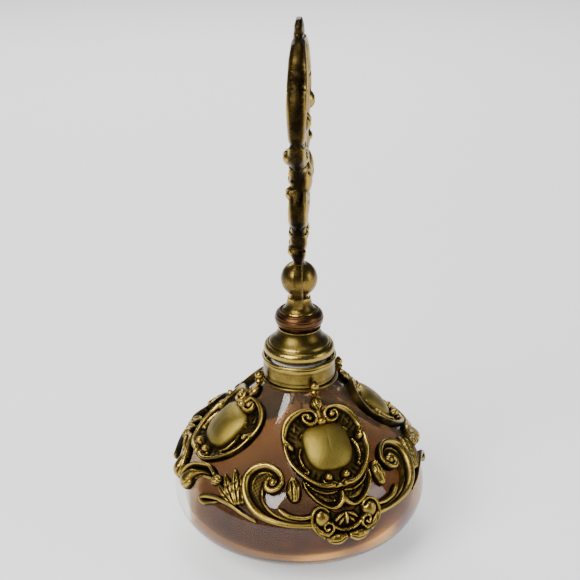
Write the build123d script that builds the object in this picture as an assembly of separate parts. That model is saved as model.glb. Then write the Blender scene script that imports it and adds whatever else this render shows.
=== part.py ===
from build123d import *
import math
import os
from functools import cache

# Footed scent bottle with a pierced brass jacket and a tall flat finial on its dauber stopper.
# Millimetres. +Z is up, the origin is the centre of the foot ring, on the table. The jacket's
# four cartouches face -Y, +X, +Y and -X. Its outlines are a pattern of points (t, s) laid on the
# glass: t goes sideways along the glass from the ornament's own axis, and s goes down the
# meridian from the neck base. The pattern stretches with the glass.

# --- glass ---------------------------------------------------------------------------------
body_r = 39.2            # widest radius
belly_z = 18.5           # height of the widest circle
shoulder_arc = 21.0      # meridian radius above the widest circle
shoulder_turn = 51.3     # degrees the shoulder arc turns before the waisted cone
low_arc = 12.0           # meridian radius below the widest circle
low_turn = 52.6          # degrees that it turns before the straight run to the foot
neck_base_r = 11.5       # where the waisted cone ends
neck_base_z = 53.4
neck_r = 9.6
neck_step = 2.0          # height of the slope from the neck base to the neck
neck_top_z = 61.0
bore_r = 6.6
glass_wall = 2.8
glass_floor = 4.6
foot_r = 22.4            # outer radius of the foot ring
foot_width = 2.2
punt_depth = 1.4         # hollow under the base

# --- jacket pattern: the outlines below are drawn for a glass of this size -----------------
pattern_body_r = 39.2
pattern_meridian = 46.0  # from the neck base down to the widest circle

# --- clearances ----------------------------------------------------------------------------
jacket_gap = 0.10        # jacket to glass
solder_gap = 0.04        # between soldered neighbours
running_gap = 0.05       # turning and sliding fits, radial
rest_gap = 0.30          # stopper rim above the collar lip
lift_gap = 0.40          # plug end above the sleeve's foot

# --- jacket --------------------------------------------------------------------------------
plate = 1.1              # thickness of the recessed grounds
rim_height = 2.2         # raised edges, off the glass
rim_width = 1.1
crest = 3.0              # tallest relief, off the glass
medallion_crest = 3.8
medallion_size = 14.2
medallion_corner = 5.2
medallion_s = 16.6       # centre of each cartouche, down the meridian
wing_s = 31.5
clasp_s = 39.5
scroll_s = 31.0
lobe_s = 34.0
jacket_below_belly = 4.0
prism_reach = 9.0        # how far an outline is carried each way to cut the curved skins

# --- collar --------------------------------------------------------------------------------
collar_wall = 0.7
collar_inner_r = 10.25
collar_z = 54.9
collar_height = 6.6
drop_r = 1.0
lip_wire = 0.55
skirt_wire = 0.45

# --- stopper -------------------------------------------------------------------------------
sleeve_wall = 0.65
sleeve_depth = 5.2
sleeve_flange = 0.85
sleeve_flange_r = 8.8
plug_head_r = 7.6
rod_r = 1.6
rod_tip_r = 2.3
rod_tip_z = 10.0
moulding_r = 10.8        # widest radius of the cap's rounded moulding
moulding_height = 3.7
dome_base_r = 9.2
dome_neck_r = 6.1
dome_height = 5.2
cap_wall = 1.0
ring_r = 7.4             # copper ring under the finial
ring_height = 5.4
ring_dish_r = 5.7
ring_dish_depth = 1.0
foot_flare_r = 5.3
foot_stem_r = 3.6
foot_height = 5.4
stud_r = 1.5
nut_r = 3.0
nut_height = 2.2
stud_over = 0.6          # stud below the nut
stud_room = 1.6          # from the stud down to the head of the plug
ball_r = 5.5
ball_gap = 0.1

# --- finial --------------------------------------------------------------------------------
finial_turn = -24.0      # degrees from the front cartouche, as the stopper rests
finial_height = 72.3     # from the top of the ball to the crown
finial_half_width = 16.5
finial_thickness = 5.6
finial_round = 1.5
tang_half_width = 6.6
tang_foot_half_width = 4.3
tang_thickness = 2.8
tang_socket = 5.0        # how far the tang runs up between the finial halves
leaf_relief = 1.4

# --- worked out from the sizes above -------------------------------------------------------
shoulder_x = body_r - shoulder_arc
cone_foot_a = math.radians(shoulder_turn)
cone_foot_r = shoulder_x + shoulder_arc * math.cos(cone_foot_a)
cone_foot_z = belly_z + shoulder_arc * math.sin(cone_foot_a)
chord_r = neck_base_r - cone_foot_r
chord_z = neck_base_z - cone_foot_z
cone_arc = (chord_r**2 + chord_z**2) / (
    2 * (chord_r * math.cos(cone_foot_a) + chord_z * math.sin(cone_foot_a))
)
cone_turn = 2 * math.asin(math.hypot(chord_r, chord_z) / 2 / cone_arc)
cone_length = cone_turn * cone_arc
shoulder_length = cone_foot_a * shoulder_arc
across = body_r / pattern_body_r
down = (cone_length + shoulder_length) / pattern_meridian

lip_z = collar_z + collar_height
cap_z = lip_z + 2 * lip_wire + rest_gap
dome_z = cap_z + moulding_height
ring_z = dome_z + dome_height
finial_foot_z = ring_z + ring_height - ring_dish_depth
ball_z = finial_foot_z + foot_height + ball_gap + ball_r
finial_z = ball_z + ball_r + ball_gap
plug_r = bore_r - running_gap - sleeve_wall - running_gap
sleeve_z = neck_top_z - sleeve_depth
plug_z = sleeve_z + lift_gap
stud_z = ring_z - cap_wall - nut_height - stud_over
plug_head_z = stud_z - stud_room
cap_bore_r = moulding_r - cap_wall - 0.4
dome_bore_r = dome_base_r - cap_wall - 0.6
jacket_foot_s = cone_length + shoulder_length + jacket_below_belly

quarters = {"front": 0, "right": 90, "back": 180, "left": -90}


def meridian(s, h=0.0):
    """Radius, height and outward direction at arc length s, h off the glass."""
    if s < cone_length:
        a = cone_foot_a - (cone_length - s) / cone_arc
        reach = h - cone_arc
        r = cone_foot_r + cone_arc * math.cos(cone_foot_a)
        z = cone_foot_z + cone_arc * math.sin(cone_foot_a)
    elif s < cone_length + shoulder_length:
        a = cone_foot_a - (s - cone_length) / shoulder_arc
        reach = h + shoulder_arc
        r, z = shoulder_x, belly_z
    else:
        a = -(s - cone_length - shoulder_length) / low_arc
        reach = h + low_arc
        r, z = body_r - low_arc, belly_z
    return r + reach * math.cos(a), z + reach * math.sin(a), a


def on_glass(t, s, h=0.0):
    """The pattern's point (t, s) on the glass, on the ornament axis that faces -Y."""
    turn = t * across / meridian(s * down)[0]
    r, z, _ = meridian(s * down, h)
    return Vector(r * math.sin(turn), -r * math.cos(turn), z)


def meridian_arc(s0, s1, h):
    """One arc of the meridian, h off the glass, in the XZ plane."""
    ends = [meridian(s, h) for s in (s0, (s0 + s1) / 2, s1)]
    return ThreePointArc(*[(r, z) for r, z, _ in ends])


def turned(edges):
    """A closed outline of radius and height, turned about the Z axis."""
    return revolve(Plane.XZ * make_face(edges), Axis.Z)


def turned_line(*points):
    return turned(Polyline(*points, close=True))


@cache
def layer(low, high):
    """The skin from low to high off the glass, from the neck base to just past the belly."""
    stops = (0.0, cone_length, cone_length + shoulder_length, jacket_foot_s)
    spans = [(a, b - 1e-9) for a, b in zip(stops, stops[1:])]
    inner = [meridian_arc(a, b, low) for a, b in spans]
    outer = [meridian_arc(a, b, high) for a, b in spans]
    caps = [Line(inner[0] @ 0, outer[0] @ 0), Line(inner[-1] @ 1, outer[-1] @ 1)]
    return turned(inner + outer + caps)


class Ornament:
    """A tangent plane on the glass at (0, s), with outlines given as (t, s)."""

    def __init__(self, s):
        _, _, a = meridian(s * down)
        out = Vector(0, -math.cos(a), math.sin(a))
        self.plane = Plane(origin=on_glass(0, s), x_dir=(1, 0, 0), z_dir=out)

    def at(self, t, s):
        point = self.plane.to_local_coords(on_glass(t, s, plate))
        return (point.X, point.Y)

    def outline(self, *points):
        return make_face(Spline(*[self.at(t, s) for t, s in points], periodic=True))

    def mirrored(self, *points):
        """An outline from its right half, listed from the top of the axis to the bottom."""
        left = [(-t, s) for t, s in reversed(points[1:-1])]
        return self.outline(*points, *left)

    def leaf(self, base, tip, width):
        """A pointed oval from base to tip."""
        (x0, y0), (x1, y1) = self.at(*base), self.at(*tip)
        length = math.hypot(x1 - x0, y1 - y0)
        side = ((y0 - y1) / length * width / 2, (x1 - x0) / length * width / 2)
        middle = (x0 + (x1 - x0) * 0.55, y0 + (y1 - y0) * 0.55)
        left = (middle[0] + side[0], middle[1] + side[1])
        right = (middle[0] - side[0], middle[1] - side[1])
        return make_face([
            ThreePointArc((x0, y0), left, (x1, y1)),
            ThreePointArc((x1, y1), right, (x0, y0)),
        ])

    def prism(self, sketch):
        return extrude(self.plane * sketch, amount=prism_reach, both=True)

    def inset(self, middle, *points):
        """A mirrored outline drawn in by the rim's width, towards its middle."""
        inner = []
        for t, s in points:
            reach = math.hypot(t, s - middle)
            keep = 1 - rim_width / reach
            inner.append((t * keep, middle + (s - middle) * keep))
        return self.mirrored(*inner)

    def relief(self, sketch, hollows, rim=rim_height):
        """A plate with hollows sunk into it, each leaving a raised edge."""
        body = self.slab(sketch, rim)
        for hollow in hollows:
            body -= self.prism(hollow) & layer(plate, rim + prism_reach)
        return body

    def slab(self, sketch, height):
        return self.prism(sketch) & layer(jacket_gap, height)

    def boss(self, sketch, height):
        """Relief that grows out of a plate."""
        return self.prism(sketch) & layer(jacket_gap + plate / 2, height)

    def bead(self, t, s, r):
        """A round bead whose middle lies half its radius off the glass."""
        return Pos(on_glass(t, s, jacket_gap + r / 2)) * Sphere(r) & layer(jacket_gap, 2 * r)


# --- bottle --------------------------------------------------------------------------------
def glass_bottle():
    low_a = math.radians(low_turn)
    low_x = body_r - low_arc
    low_end = (low_x + low_arc * math.cos(low_a), belly_z - low_arc * math.sin(low_a))
    low_mid = (low_x + low_arc * math.cos(low_a / 2), belly_z - low_arc * math.sin(low_a / 2))
    inner_low = low_arc - glass_wall
    inner_end = (low_x + inner_low * math.cos(low_a), belly_z - inner_low * math.sin(low_a))
    inner_mid = (low_x + inner_low * math.cos(low_a / 2), belly_z - inner_low * math.sin(low_a / 2))
    top = cone_length + shoulder_length
    slope = (low_end[1] - 0) / (low_end[0] - foot_r)
    floor_r = inner_end[0] - (inner_end[1] - glass_floor) / slope
    cone = meridian_arc(0, cone_length - 1e-9, 0)
    inner_cone = meridian_arc(0, cone_length - 1e-9, -glass_wall)
    return turned([
        Polyline((0, punt_depth), (foot_r - foot_width, punt_depth), (foot_r - foot_width, 0),
                 (foot_r, 0), low_end),
        ThreePointArc(low_end, low_mid, (body_r, belly_z)),
        ThreePointArc((body_r, belly_z), meridian(cone_length + shoulder_length / 2)[:2], cone @ 1),
        cone,
        Polyline(cone @ 0, (neck_r, neck_base_z + neck_step), (neck_r, neck_top_z),
                 (bore_r, neck_top_z), (bore_r, neck_base_z + neck_step / 2), inner_cone @ 0),
        inner_cone,
        ThreePointArc(inner_cone @ 1, meridian(top - shoulder_length / 2, -glass_wall)[:2],
                      (body_r - glass_wall, belly_z)),
        ThreePointArc((body_r - glass_wall, belly_z), inner_mid, inner_end),
        Polyline(inner_end, (floor_r, glass_floor), (0, glass_floor), (0, punt_depth)),
    ])


def tube(inner, outer, z, height):
    return Pos(0, 0, z) * extrude(Circle(outer) - Circle(inner), amount=height)


def wire_ring(r, z, wire):
    return Pos(0, 0, z) * Torus(r, wire)


def neck_cement():
    return tube(neck_r + solder_gap, collar_inner_r - solder_gap, collar_z + 0.6, collar_height - 1.2)


def collar_band():
    return tube(collar_inner_r, collar_inner_r + collar_wall, collar_z, collar_height)


def collar_lip():
    return wire_ring(collar_inner_r + lip_wire, lip_z + lip_wire, lip_wire)


def collar_skirt():
    """A half-round wire that closes the gap between the band and the shoulder of the glass."""
    r = collar_inner_r + collar_wall + solder_gap + skirt_wire
    return wire_ring(r, collar_z + skirt_wire, skirt_wire)


def bellflower_drops():
    """A bead and a pointed drop, soldered over the collar above each cartouche."""
    r = collar_inner_r + collar_wall + 2 * skirt_wire + 2 * solder_gap
    bead = Pos(0, -r - drop_r, collar_z + 2.4) * Sphere(drop_r)
    drop = Pos(0, -r - drop_r, collar_z) * Cone(0.2, drop_r * 0.9, 3.2)
    stalk = Pos(0, -r - drop_r, collar_z + 1.8) * Cylinder(drop_r * 0.5, 4.2)
    return spread(bead + stalk + drop)


# --- jacket --------------------------------------------------------------------------------
cartouche_edge = [
    (0, 6.6), (1.4, 5.1), (3.4, 4.5), (5.6, 4.8), (8.4, 6.3), (10.9, 9.1), (12.6, 12.6),
    (13.2, 16.3), (12.9, 20), (11.6, 23.6), (9.3, 26.5), (6.3, 28.6), (3, 29.4), (0, 29.1),
]


def medallion_outline(ornament, grow=0.0):
    _, y = ornament.at(0, medallion_s)
    side = medallion_size + 2 * grow
    return Pos(0, y) * RectangleRounded(side, side, medallion_corner + grow)


def cartouche():
    ornament = Ornament(medallion_s)
    hollow = ornament.inset(medallion_s, *cartouche_edge)
    body = ornament.relief(ornament.mirrored(*cartouche_edge), [hollow])
    for side in (-1, 1):
        body += ornament.boss(Pos(*ornament.at(side * 3.3, 6.9)) * Circle(2.0), crest)
        body += ornament.boss(Pos(*ornament.at(side * 11.2, 16.2)) * Circle(1.3), rim_height + 0.3)
        body += ornament.boss(Pos(*ornament.at(side * 2.7, 26.1)) * Circle(1.4), crest)
    body += ornament.boss(ornament.mirrored((0, 1.4), (0.8, 2.6), (0.9, 7.6), (0, 8.8)), 1.6)
    body -= ornament.prism(medallion_outline(ornament, solder_gap)) & layer(plate, crest + 2)
    return body


def medallion():
    """A satin domed boss, seated on the cartouche's ground."""
    ornament = Ornament(medallion_s)
    blank = ornament.prism(medallion_outline(ornament)) & layer(plate + solder_gap, medallion_crest)
    _, y = ornament.at(0, medallion_s)
    half = medallion_size / 2
    rise = medallion_crest - plate
    dome_r = (half**2 + rise**2) / (2 * rise)
    top = ornament.plane * Pos(0, y, medallion_crest - dome_r - 0.3) * Sphere(dome_r + 0.9)
    return blank & top


wing_edge = [
    (0, 28.6), (4, 28.8), (7.6, 27.4), (10.2, 25.2), (10.7, 28.2), (9.3, 31.2), (7, 33.6),
    (4.3, 35.2), (1.6, 36), (0, 36.4),
]
clasp_edge = [
    (0, 35.7), (2.6, 36), (4.9, 34.5), (7.2, 33.6), (9.4, 34.2), (10.7, 36.4), (10.6, 39),
    (9.2, 41.2), (7.3, 42.8), (5.6, 44.4), (3.2, 45.2), (1.2, 44.6), (0, 43.6),
]


def wing_leaf():
    """Two hollow lobes with a small curl between them, from the cartouche to the clasp."""
    ornament = Ornament(wing_s)
    hollows = [ornament.leaf((side * 1.3, 32.7), (side * 9.4, 28.9), 2.6) for side in (-1, 1)]
    body = ornament.relief(ornament.mirrored(*wing_edge), hollows)
    body += ornament.boss(Pos(*ornament.at(0, 32.2)) * Circle(1.2), rim_height + 0.5)
    above = Ornament(medallion_s)
    below = Ornament(clasp_s)
    body -= above.prism(above.mirrored(*cartouche_edge))
    return body - below.prism(below.mirrored(*clasp_edge))


def shell_clasp():
    ornament = Ornament(clasp_s)
    hollow = ornament.inset(39.6, *clasp_edge)
    body = ornament.relief(ornament.mirrored(*clasp_edge), [hollow], rim_height + 0.3)
    for side in (-1, 1):
        body += ornament.boss(Pos(*ornament.at(side * 7.4, 37.0)) * Circle(2.6), crest)
        body += ornament.boss(ornament.leaf((side * 0.8, 41.6), (side * 6.2, 42.9), 2.0), crest - 0.4)
    return body


def scroll_outline(ornament):
    """The right-hand end of a C scroll runs level into the clasp; the left end winds up."""
    back = [(20.6, 39.6), (15, 39.4), (10, 38.9), (5, 37.8), (1, 35.5), (-2, 31.9), (-3.2, 28),
            (-2.5, 25), (-0.5, 22.8), (2.5, 21.8), (6, 22.9), (8.3, 25.2), (9.1, 27.6),
            (8.4, 29.6), (6.3, 30.7), (4, 30.3)]
    front = [(4, 30.3), (3.8, 32.2), (6.6, 34.7), (10, 36.3), (15, 37.3), (20.6, 37.6)]
    outer = Spline(*[ornament.at(*point) for point in back])
    inner = Spline(*[ornament.at(*point) for point in front])
    return make_face([outer, inner, Line(inner @ 1, outer @ 0)])


def c_scroll():
    """One C scroll between a cartouche and a clasp, with its boss and its inner sprig."""
    ornament = Ornament(scroll_s)
    outline = scroll_outline(ornament)
    channel = ornament.outline(
        (10.5, 37.9), (6, 36.9), (2.2, 34.6), (-0.9, 31.2), (-2, 28), (-1.3, 25.5), (0.3, 23.8),
        (2.7, 23), (5.3, 24), (6.9, 25.7), (4.4, 25.2), (2.7, 27), (2.4, 29.8), (3.1, 32.4),
        (5.6, 35), (8.6, 36.8),
    )
    body = ornament.relief(outline, [channel])
    body += ornament.boss(Pos(*ornament.at(6.0, 27.8)) * Circle(2.5), crest)
    sprig = ornament.outline((9.2, 34.1), (10.6, 34.2), (13, 35.4), (16, 35.9), (19, 35.6),
                             (19.2, 37.4), (15.8, 37.5), (12.4, 36.9), (9.8, 35.6))
    body += ornament.boss(sprig, 1.7)
    clasp = Ornament(clasp_s)
    return body - Rot(0, 0, 45) * clasp.prism(clasp.mirrored(*clasp_edge))


def leaf_spray():
    """Three veined fingers that fan out of the back of a C scroll."""
    ornament = Ornament(scroll_s)
    fingers = [
        ornament.leaf((-1.9, 34.4), (-5.0, 27.6), 2.0),
        ornament.leaf((-2.9, 35.0), (-7.0, 26.0), 2.9),
        ornament.leaf((-4.2, 35.3), (-9.9, 28.6), 2.9),
    ]
    root = Pos(*ornament.at(-3.3, 34)) * Circle(1.5)
    body = ornament.slab(fingers[0] + fingers[1] + fingers[2] + root, 1.5)
    body += ornament.boss(fingers[1], 2.3)
    body -= ornament.prism(scroll_outline(ornament))
    return body - ornament.prism(long_leaf_outline(ornament))


def long_leaf_outline(ornament):
    return ornament.outline(
        (-16.8, 36.9), (-14, 35.6), (-10, 34.9), (-5, 35.3), (0, 37.1), (4.6, 38.2),
        (3.4, 39.2), (0, 38.3), (-5, 36.7), (-8.5, 36.7), (-12, 38), (-14.5, 39.3),
        (-16.6, 39.2), (-17.5, 38.1),
    )


def long_leaf():
    """A long blade with a curled tip, springing from the foot of a C scroll."""
    ornament = Ornament(scroll_s)
    body = ornament.slab(long_leaf_outline(ornament), 1.6)
    body += ornament.boss(Pos(*ornament.at(-15.2, 37.6)) * Circle(1.1), 2.1)
    return body - ornament.prism(scroll_outline(ornament))


def leaf_bud():
    ornament = Ornament(scroll_s)
    bud = ornament.outline((10.8, 25.2), (12.7, 27), (14.1, 29.8), (14.2, 31.8), (12.6, 32.2),
                           (10.8, 30.4), (10.3, 28))
    body = ornament.slab(bud, 2.3)
    above = Ornament(medallion_s)
    body -= Rot(0, 0, 45) * above.prism(above.mirrored(*cartouche_edge))
    return body - ornament.prism(scroll_outline(ornament))


def lobe_outline(ornament):
    return ornament.outline(
        (0.5, 37.6), (0.5, 35.4), (1.2, 33.2), (3.0, 30.8), (5.8, 28.1), (9.6, 28.2), (13, 29.6),
        (13.2, 32), (10.6, 32.3), (8.2, 33), (7.1, 34.6), (7, 36.6), (5.8, 38.7), (3.2, 39.7),
        (1.2, 39.2),
    )


def side_lobe():
    """One S-shaped lobe below a side cartouche, with a round bulb at its lower end."""
    ornament = Ornament(lobe_s)
    hollow = ornament.leaf((4.6, 33.1), (12, 30.6), 1.8)
    body = ornament.relief(lobe_outline(ornament), [hollow])
    body += ornament.boss(Pos(*ornament.at(3.7, 36.1)) * Circle(2.4), crest)
    above = Ornament(medallion_s)
    return body - above.prism(above.mirrored(*cartouche_edge))


def tie_bead():
    """The round knot between a side lobe and a leaf spray."""
    ornament = Ornament(lobe_s)
    return ornament.bead(15.0, 31.2, 1.9) - ornament.prism(lobe_outline(ornament))


def spread(part):
    """Four copies, one above each cartouche."""
    return Compound([Rot(0, 0, angle) * part for angle in quarters.values()])


# --- stopper -------------------------------------------------------------------------------
def seal_sleeve():
    """A plain sleeve that lifts out with the stopper while the plug turns inside it."""
    outer = bore_r - running_gap
    height = neck_top_z + sleeve_flange - sleeve_z
    body = tube(outer - sleeve_wall, outer, sleeve_z, height)
    flange = tube(outer - sleeve_wall, sleeve_flange_r, neck_top_z + running_gap,
                  sleeve_flange - running_gap)
    return body + flange


def cap_shell():
    roof = dome_z + dome_height
    arc_mid = (moulding_r, cap_z + moulding_height / 2)
    rim_r = moulding_r - 0.6
    return turned([
        Line((cap_bore_r, cap_z), (rim_r, cap_z)),
        ThreePointArc((rim_r, cap_z), arc_mid, (rim_r, dome_z - 0.3)),
        Polyline((rim_r, dome_z - 0.3), (dome_base_r, dome_z - 0.3), (dome_base_r, dome_z)),
        ThreePointArc((dome_base_r, dome_z), (dome_neck_r + 0.75, dome_z + dome_height * 0.42),
                      (dome_neck_r, roof)),
        Polyline((dome_neck_r, roof), (stud_r + solder_gap, roof),
                 (stud_r + solder_gap, roof - cap_wall), (dome_neck_r - cap_wall, roof - cap_wall)),
        Polyline((dome_neck_r - cap_wall, roof - cap_wall), (dome_bore_r, dome_z),
                 (cap_bore_r, dome_z - 0.6), (cap_bore_r, cap_z)),
    ])


def plug_outline():
    """The glass plug, its head inside the cap, and the dauber rod, as half an outline."""
    lean = math.sin(math.pi / 4)
    tip_mid_z = rod_tip_z + rod_tip_r * (1 - lean)
    return [
        Polyline((0, plug_head_z), (plug_head_r, plug_head_z), (plug_head_r, cap_z + 0.2),
                 (plug_r, cap_z + 0.2), (plug_r, plug_z), (rod_r, plug_z - 0.8),
                 (rod_r, rod_tip_z + 3 * rod_tip_r), (rod_tip_r, rod_tip_z + rod_tip_r)),
        ThreePointArc((rod_tip_r, rod_tip_z + rod_tip_r), (rod_tip_r * lean, tip_mid_z),
                      (0, rod_tip_z)),
        Line((0, rod_tip_z), (0, plug_head_z)),
    ]


def dauber():
    return turned(plug_outline())


def plug_cement():
    """What fills the cap round the head of the plug, below the nut."""
    head_r = plug_head_r + solder_gap
    bore = cap_bore_r - solder_gap
    top = plug_head_z + 0.5
    lean = (dome_bore_r - dome_neck_r + cap_wall) / (dome_height - cap_wall)
    top_r = dome_bore_r - 2 * solder_gap - (top - dome_z) * lean
    return turned_line(
        (0, plug_head_z + solder_gap), (head_r, plug_head_z + solder_gap), (head_r, cap_z + 0.5),
        (bore, cap_z + 0.5), (bore, dome_z - 0.6 - solder_gap),
        (dome_bore_r - 2 * solder_gap, dome_z), (top_r, top), (0, top),
    )


def cap_nut():
    face = RegularPolygon(nut_r, 6) - Circle(stud_r + solder_gap)
    return Pos(0, 0, stud_z + stud_over - solder_gap) * extrude(face, amount=nut_height)


def copper_ring():
    z = ring_z + solder_gap
    top = ring_z + ring_height
    waist = (ring_r, z + ring_height * 0.55)
    return turned([
        Line((stud_r + solder_gap, z), (dome_neck_r - 0.1, z)),
        ThreePointArc((dome_neck_r - 0.1, z), waist, (ring_r - 0.7, top)),
        Polyline((ring_r - 0.7, top), (ring_dish_r, top), (ring_dish_r - 0.3, top - ring_dish_depth),
                 (stud_r + solder_gap, top - ring_dish_depth), (stud_r + solder_gap, z)),
    ])


def finial_foot():
    z = finial_foot_z + solder_gap
    top = finial_foot_z + foot_height
    body = turned([
        Polyline((0, z), (foot_flare_r, z), (foot_flare_r, z + 0.9)),
        ThreePointArc((foot_flare_r, z + 0.9), (foot_stem_r + 0.35, z + 2.6), (foot_stem_r, top)),
        Polyline((foot_stem_r, top), (0, top), (0, z)),
    ])
    stud = Pos(0, 0, stud_z) * extrude(Circle(stud_r), amount=z - stud_z + 0.2)
    return Rot(0, 0, finial_turn) * (body + stud - tang(solder_gap))


# The finial's own plane holds (across, height); its plate stands across the Y axis at rest.
def upright(sketch, thickness):
    return extrude(Plane.YZ * sketch, amount=thickness / 2, both=True)


def tang(grow=0.0):
    """The narrow tongue that carries the finial down through the ball into the foot."""
    foot = (tang_foot_half_width + grow, finial_foot_z + 2.2 - grow)
    waist = (tang_foot_half_width + grow, finial_foot_z + foot_height)
    wide = (tang_half_width + grow, ball_z)
    top = (tang_half_width - 2.4 + grow, finial_z + tang_socket + grow)
    right = [Line(foot, waist), Spline(waist, wide, (top[0], finial_z)), Line((top[0], finial_z), top)]
    left = [mirror(edge, about=Plane.YZ) for edge in right]
    caps = [Line(top, (-top[0], top[1])), Line(foot, (-foot[0], foot[1]))]
    return upright(make_face(right + left + caps), tang_thickness + 2 * grow)


def finial_tang():
    return Rot(0, 0, finial_turn) * tang()


def finial_ball():
    """Two half balls, one on each face of the tang."""
    flat = math.degrees(math.asin((tang_thickness / 2 + solder_gap) / ball_r))
    cap = Sphere(ball_r, arc_size1=flat, align=None)
    halves = [Pos(0, 0, ball_z) * Rot(0, side * 90, 0) * cap for side in (-1, 1)]
    return Compound([Rot(0, 0, finial_turn) * half for half in halves])


def finial_outline():
    """Crown, shoulders, waist and lower curls, from the crown down the right-hand side."""
    z = finial_z
    w = finial_half_width
    h = finial_height
    half = [
        (0, z + h), (w * 0.22, z + h - 1.6), (w * 0.46, z + h - 7), (w * 0.80, z + h - 16),
        (w, z + h - 29), (w * 0.86, z + h - 39), (w * 0.50, z + h - 45.5),
        (w * 0.60, z + h - 51), (w * 0.64, z + h - 56), (w * 0.38, z + h - 61.5),
        (w * 0.34, z + h - 66), (w * 0.40, z + 2.4), (w * 0.24, z + 0.3), (0, z + 0.1),
    ]
    left = [(-x, y) for x, y in reversed(half[1:-1])]
    return make_face(Spline(*half, *left, periodic=True))


def finial_leaves():
    """Raised leaves in the finial's plane: two rows that lean outwards, and a spine."""
    leaves = []
    for rise, reach, width in ((19, 0.36, 4.0), (34, 0.58, 5.5), (48, 0.58, 5.5)):
        for side in (-1, 1):
            base = (side * 0.8, finial_z + rise - 8)
            tip = (side * finial_half_width * reach, finial_z + rise)
            middle = ((base[0] + tip[0]) / 2, (base[1] + tip[1]) / 2)
            leaves.append(make_face([
                ThreePointArc(base, (middle[0], middle[1] + width / 2), tip),
                ThreePointArc(tip, (middle[0], middle[1] - width / 2), base),
            ]))
    return leaves


def finial_half(side):
    """One cast half of the finial, with its leaves; the halves meet on a plane seam."""
    thickness = finial_thickness / 2 - solder_gap / 2
    plane = Plane(origin=(side * solder_gap / 2, 0, 0), x_dir=(0, 1, 0), z_dir=(1, 0, 0))
    body = extrude(plane * finial_outline(), amount=side * thickness)
    face = body.faces().sort_by(Axis.X)[-1 if side > 0 else 0]
    body = fillet(face.edges(), radius=finial_round)
    core = plane.offset(side * thickness / 2)
    for leaf in finial_leaves():
        body += extrude(core * leaf, amount=side * (thickness / 2 + leaf_relief))
    return Rot(0, 0, finial_turn) * (body - tang(solder_gap))


# --- everything in its place ---------------------------------------------------------------
def nodes():
    """Each sub-part's name and shape."""
    yield "glass_bottle", glass_bottle()
    yield "neck_cement", neck_cement()
    yield "collar_band", collar_band()
    yield "collar_lip", collar_lip()
    yield "collar_skirt", collar_skirt()
    yield "bellflower_drops", bellflower_drops()

    frame, boss = cartouche(), medallion()
    for name, angle in quarters.items():
        yield f"cartouche_{name}", Rot(0, 0, angle) * frame
        yield f"medallion_{name}", Rot(0, 0, angle) * boss

    wing, clasp = wing_leaf(), shell_clasp()
    for name in ("front", "back"):
        yield f"wing_leaf_{name}", Rot(0, 0, quarters[name]) * wing
        yield f"shell_clasp_{name}", Rot(0, 0, quarters[name]) * clasp

    corner_pieces = {
        "c_scroll": Rot(0, 0, -45) * c_scroll(),
        "leaf_spray": Rot(0, 0, -45) * leaf_spray(),
        "long_leaf": Rot(0, 0, -45) * long_leaf(),
        "side_lobe": Rot(0, 0, -90) * side_lobe(),
    }
    for name, left in corner_pieces.items():
        for place, piece in four_corners(left).items():
            yield f"{name}_{place}", piece
    buds = four_corners(Rot(0, 0, -45) * leaf_bud())
    yield "leaf_buds", Compound(list(buds.values()))
    beads = four_corners(Rot(0, 0, -90) * tie_bead())
    yield "tie_beads", Compound(list(beads.values()))

    yield "seal_sleeve", seal_sleeve()
    yield "dauber", dauber()
    yield "plug_cement", plug_cement()
    yield "cap_shell", cap_shell()
    yield "cap_nut", cap_nut()
    yield "copper_ring", copper_ring()
    yield "finial_foot", finial_foot()
    yield "finial_tang", finial_tang()
    yield "finial_ball", finial_ball()
    yield "finial_half_left", finial_half(-1)
    yield "finial_half_right", finial_half(1)


def four_corners(front_left):
    """The piece at the front left, its mirror image, and both turned to the back."""
    front_right = mirror(front_left, about=Plane.YZ)
    return {
        "front_left": front_left,
        "front_right": front_right,
        "back_right": Rot(0, 0, 180) * front_left,
        "back_left": Rot(0, 0, 180) * front_right,
    }


os.makedirs("parts", exist_ok=True)
for name, shape in nodes():
    export_step(shape, f"parts/{name}.step")
    print(name, round(shape.volume, 1))
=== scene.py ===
# %% [markdown]
# # A scent bottle in a cast brass jacket
# The object is a squat amber glass bottle. A pierced jacket of cast and soldered brass sits on its
# shoulder, and a tall flat finial stands on the dauber stopper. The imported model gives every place
# and size. This lesson rebuilds each visible piece as a finer mesh and gives it an aged finish.

# %% Load the frame
import math

import bmesh
import bpy
import numpy as np
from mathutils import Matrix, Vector
from mathutils.geometry import delaunay_2d_cdt


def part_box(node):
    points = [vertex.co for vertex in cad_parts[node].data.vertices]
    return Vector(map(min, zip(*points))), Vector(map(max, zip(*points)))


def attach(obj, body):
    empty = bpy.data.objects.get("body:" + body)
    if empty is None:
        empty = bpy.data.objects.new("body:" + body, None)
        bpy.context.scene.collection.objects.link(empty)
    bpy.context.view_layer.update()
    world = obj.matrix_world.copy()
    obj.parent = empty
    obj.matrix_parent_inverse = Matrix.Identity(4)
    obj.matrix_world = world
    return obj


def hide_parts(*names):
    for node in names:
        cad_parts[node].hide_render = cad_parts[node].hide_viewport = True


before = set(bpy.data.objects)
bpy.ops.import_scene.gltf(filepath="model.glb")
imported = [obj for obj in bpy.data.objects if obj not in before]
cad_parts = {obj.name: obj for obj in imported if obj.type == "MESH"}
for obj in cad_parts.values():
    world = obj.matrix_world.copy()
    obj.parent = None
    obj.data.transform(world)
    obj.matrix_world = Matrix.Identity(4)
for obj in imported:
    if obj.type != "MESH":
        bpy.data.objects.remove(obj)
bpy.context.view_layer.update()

MM = 0.001
BODY_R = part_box("glass_bottle")[1][0] / MM
print("widest glass radius, mm:", round(BODY_R, 2))

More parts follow.
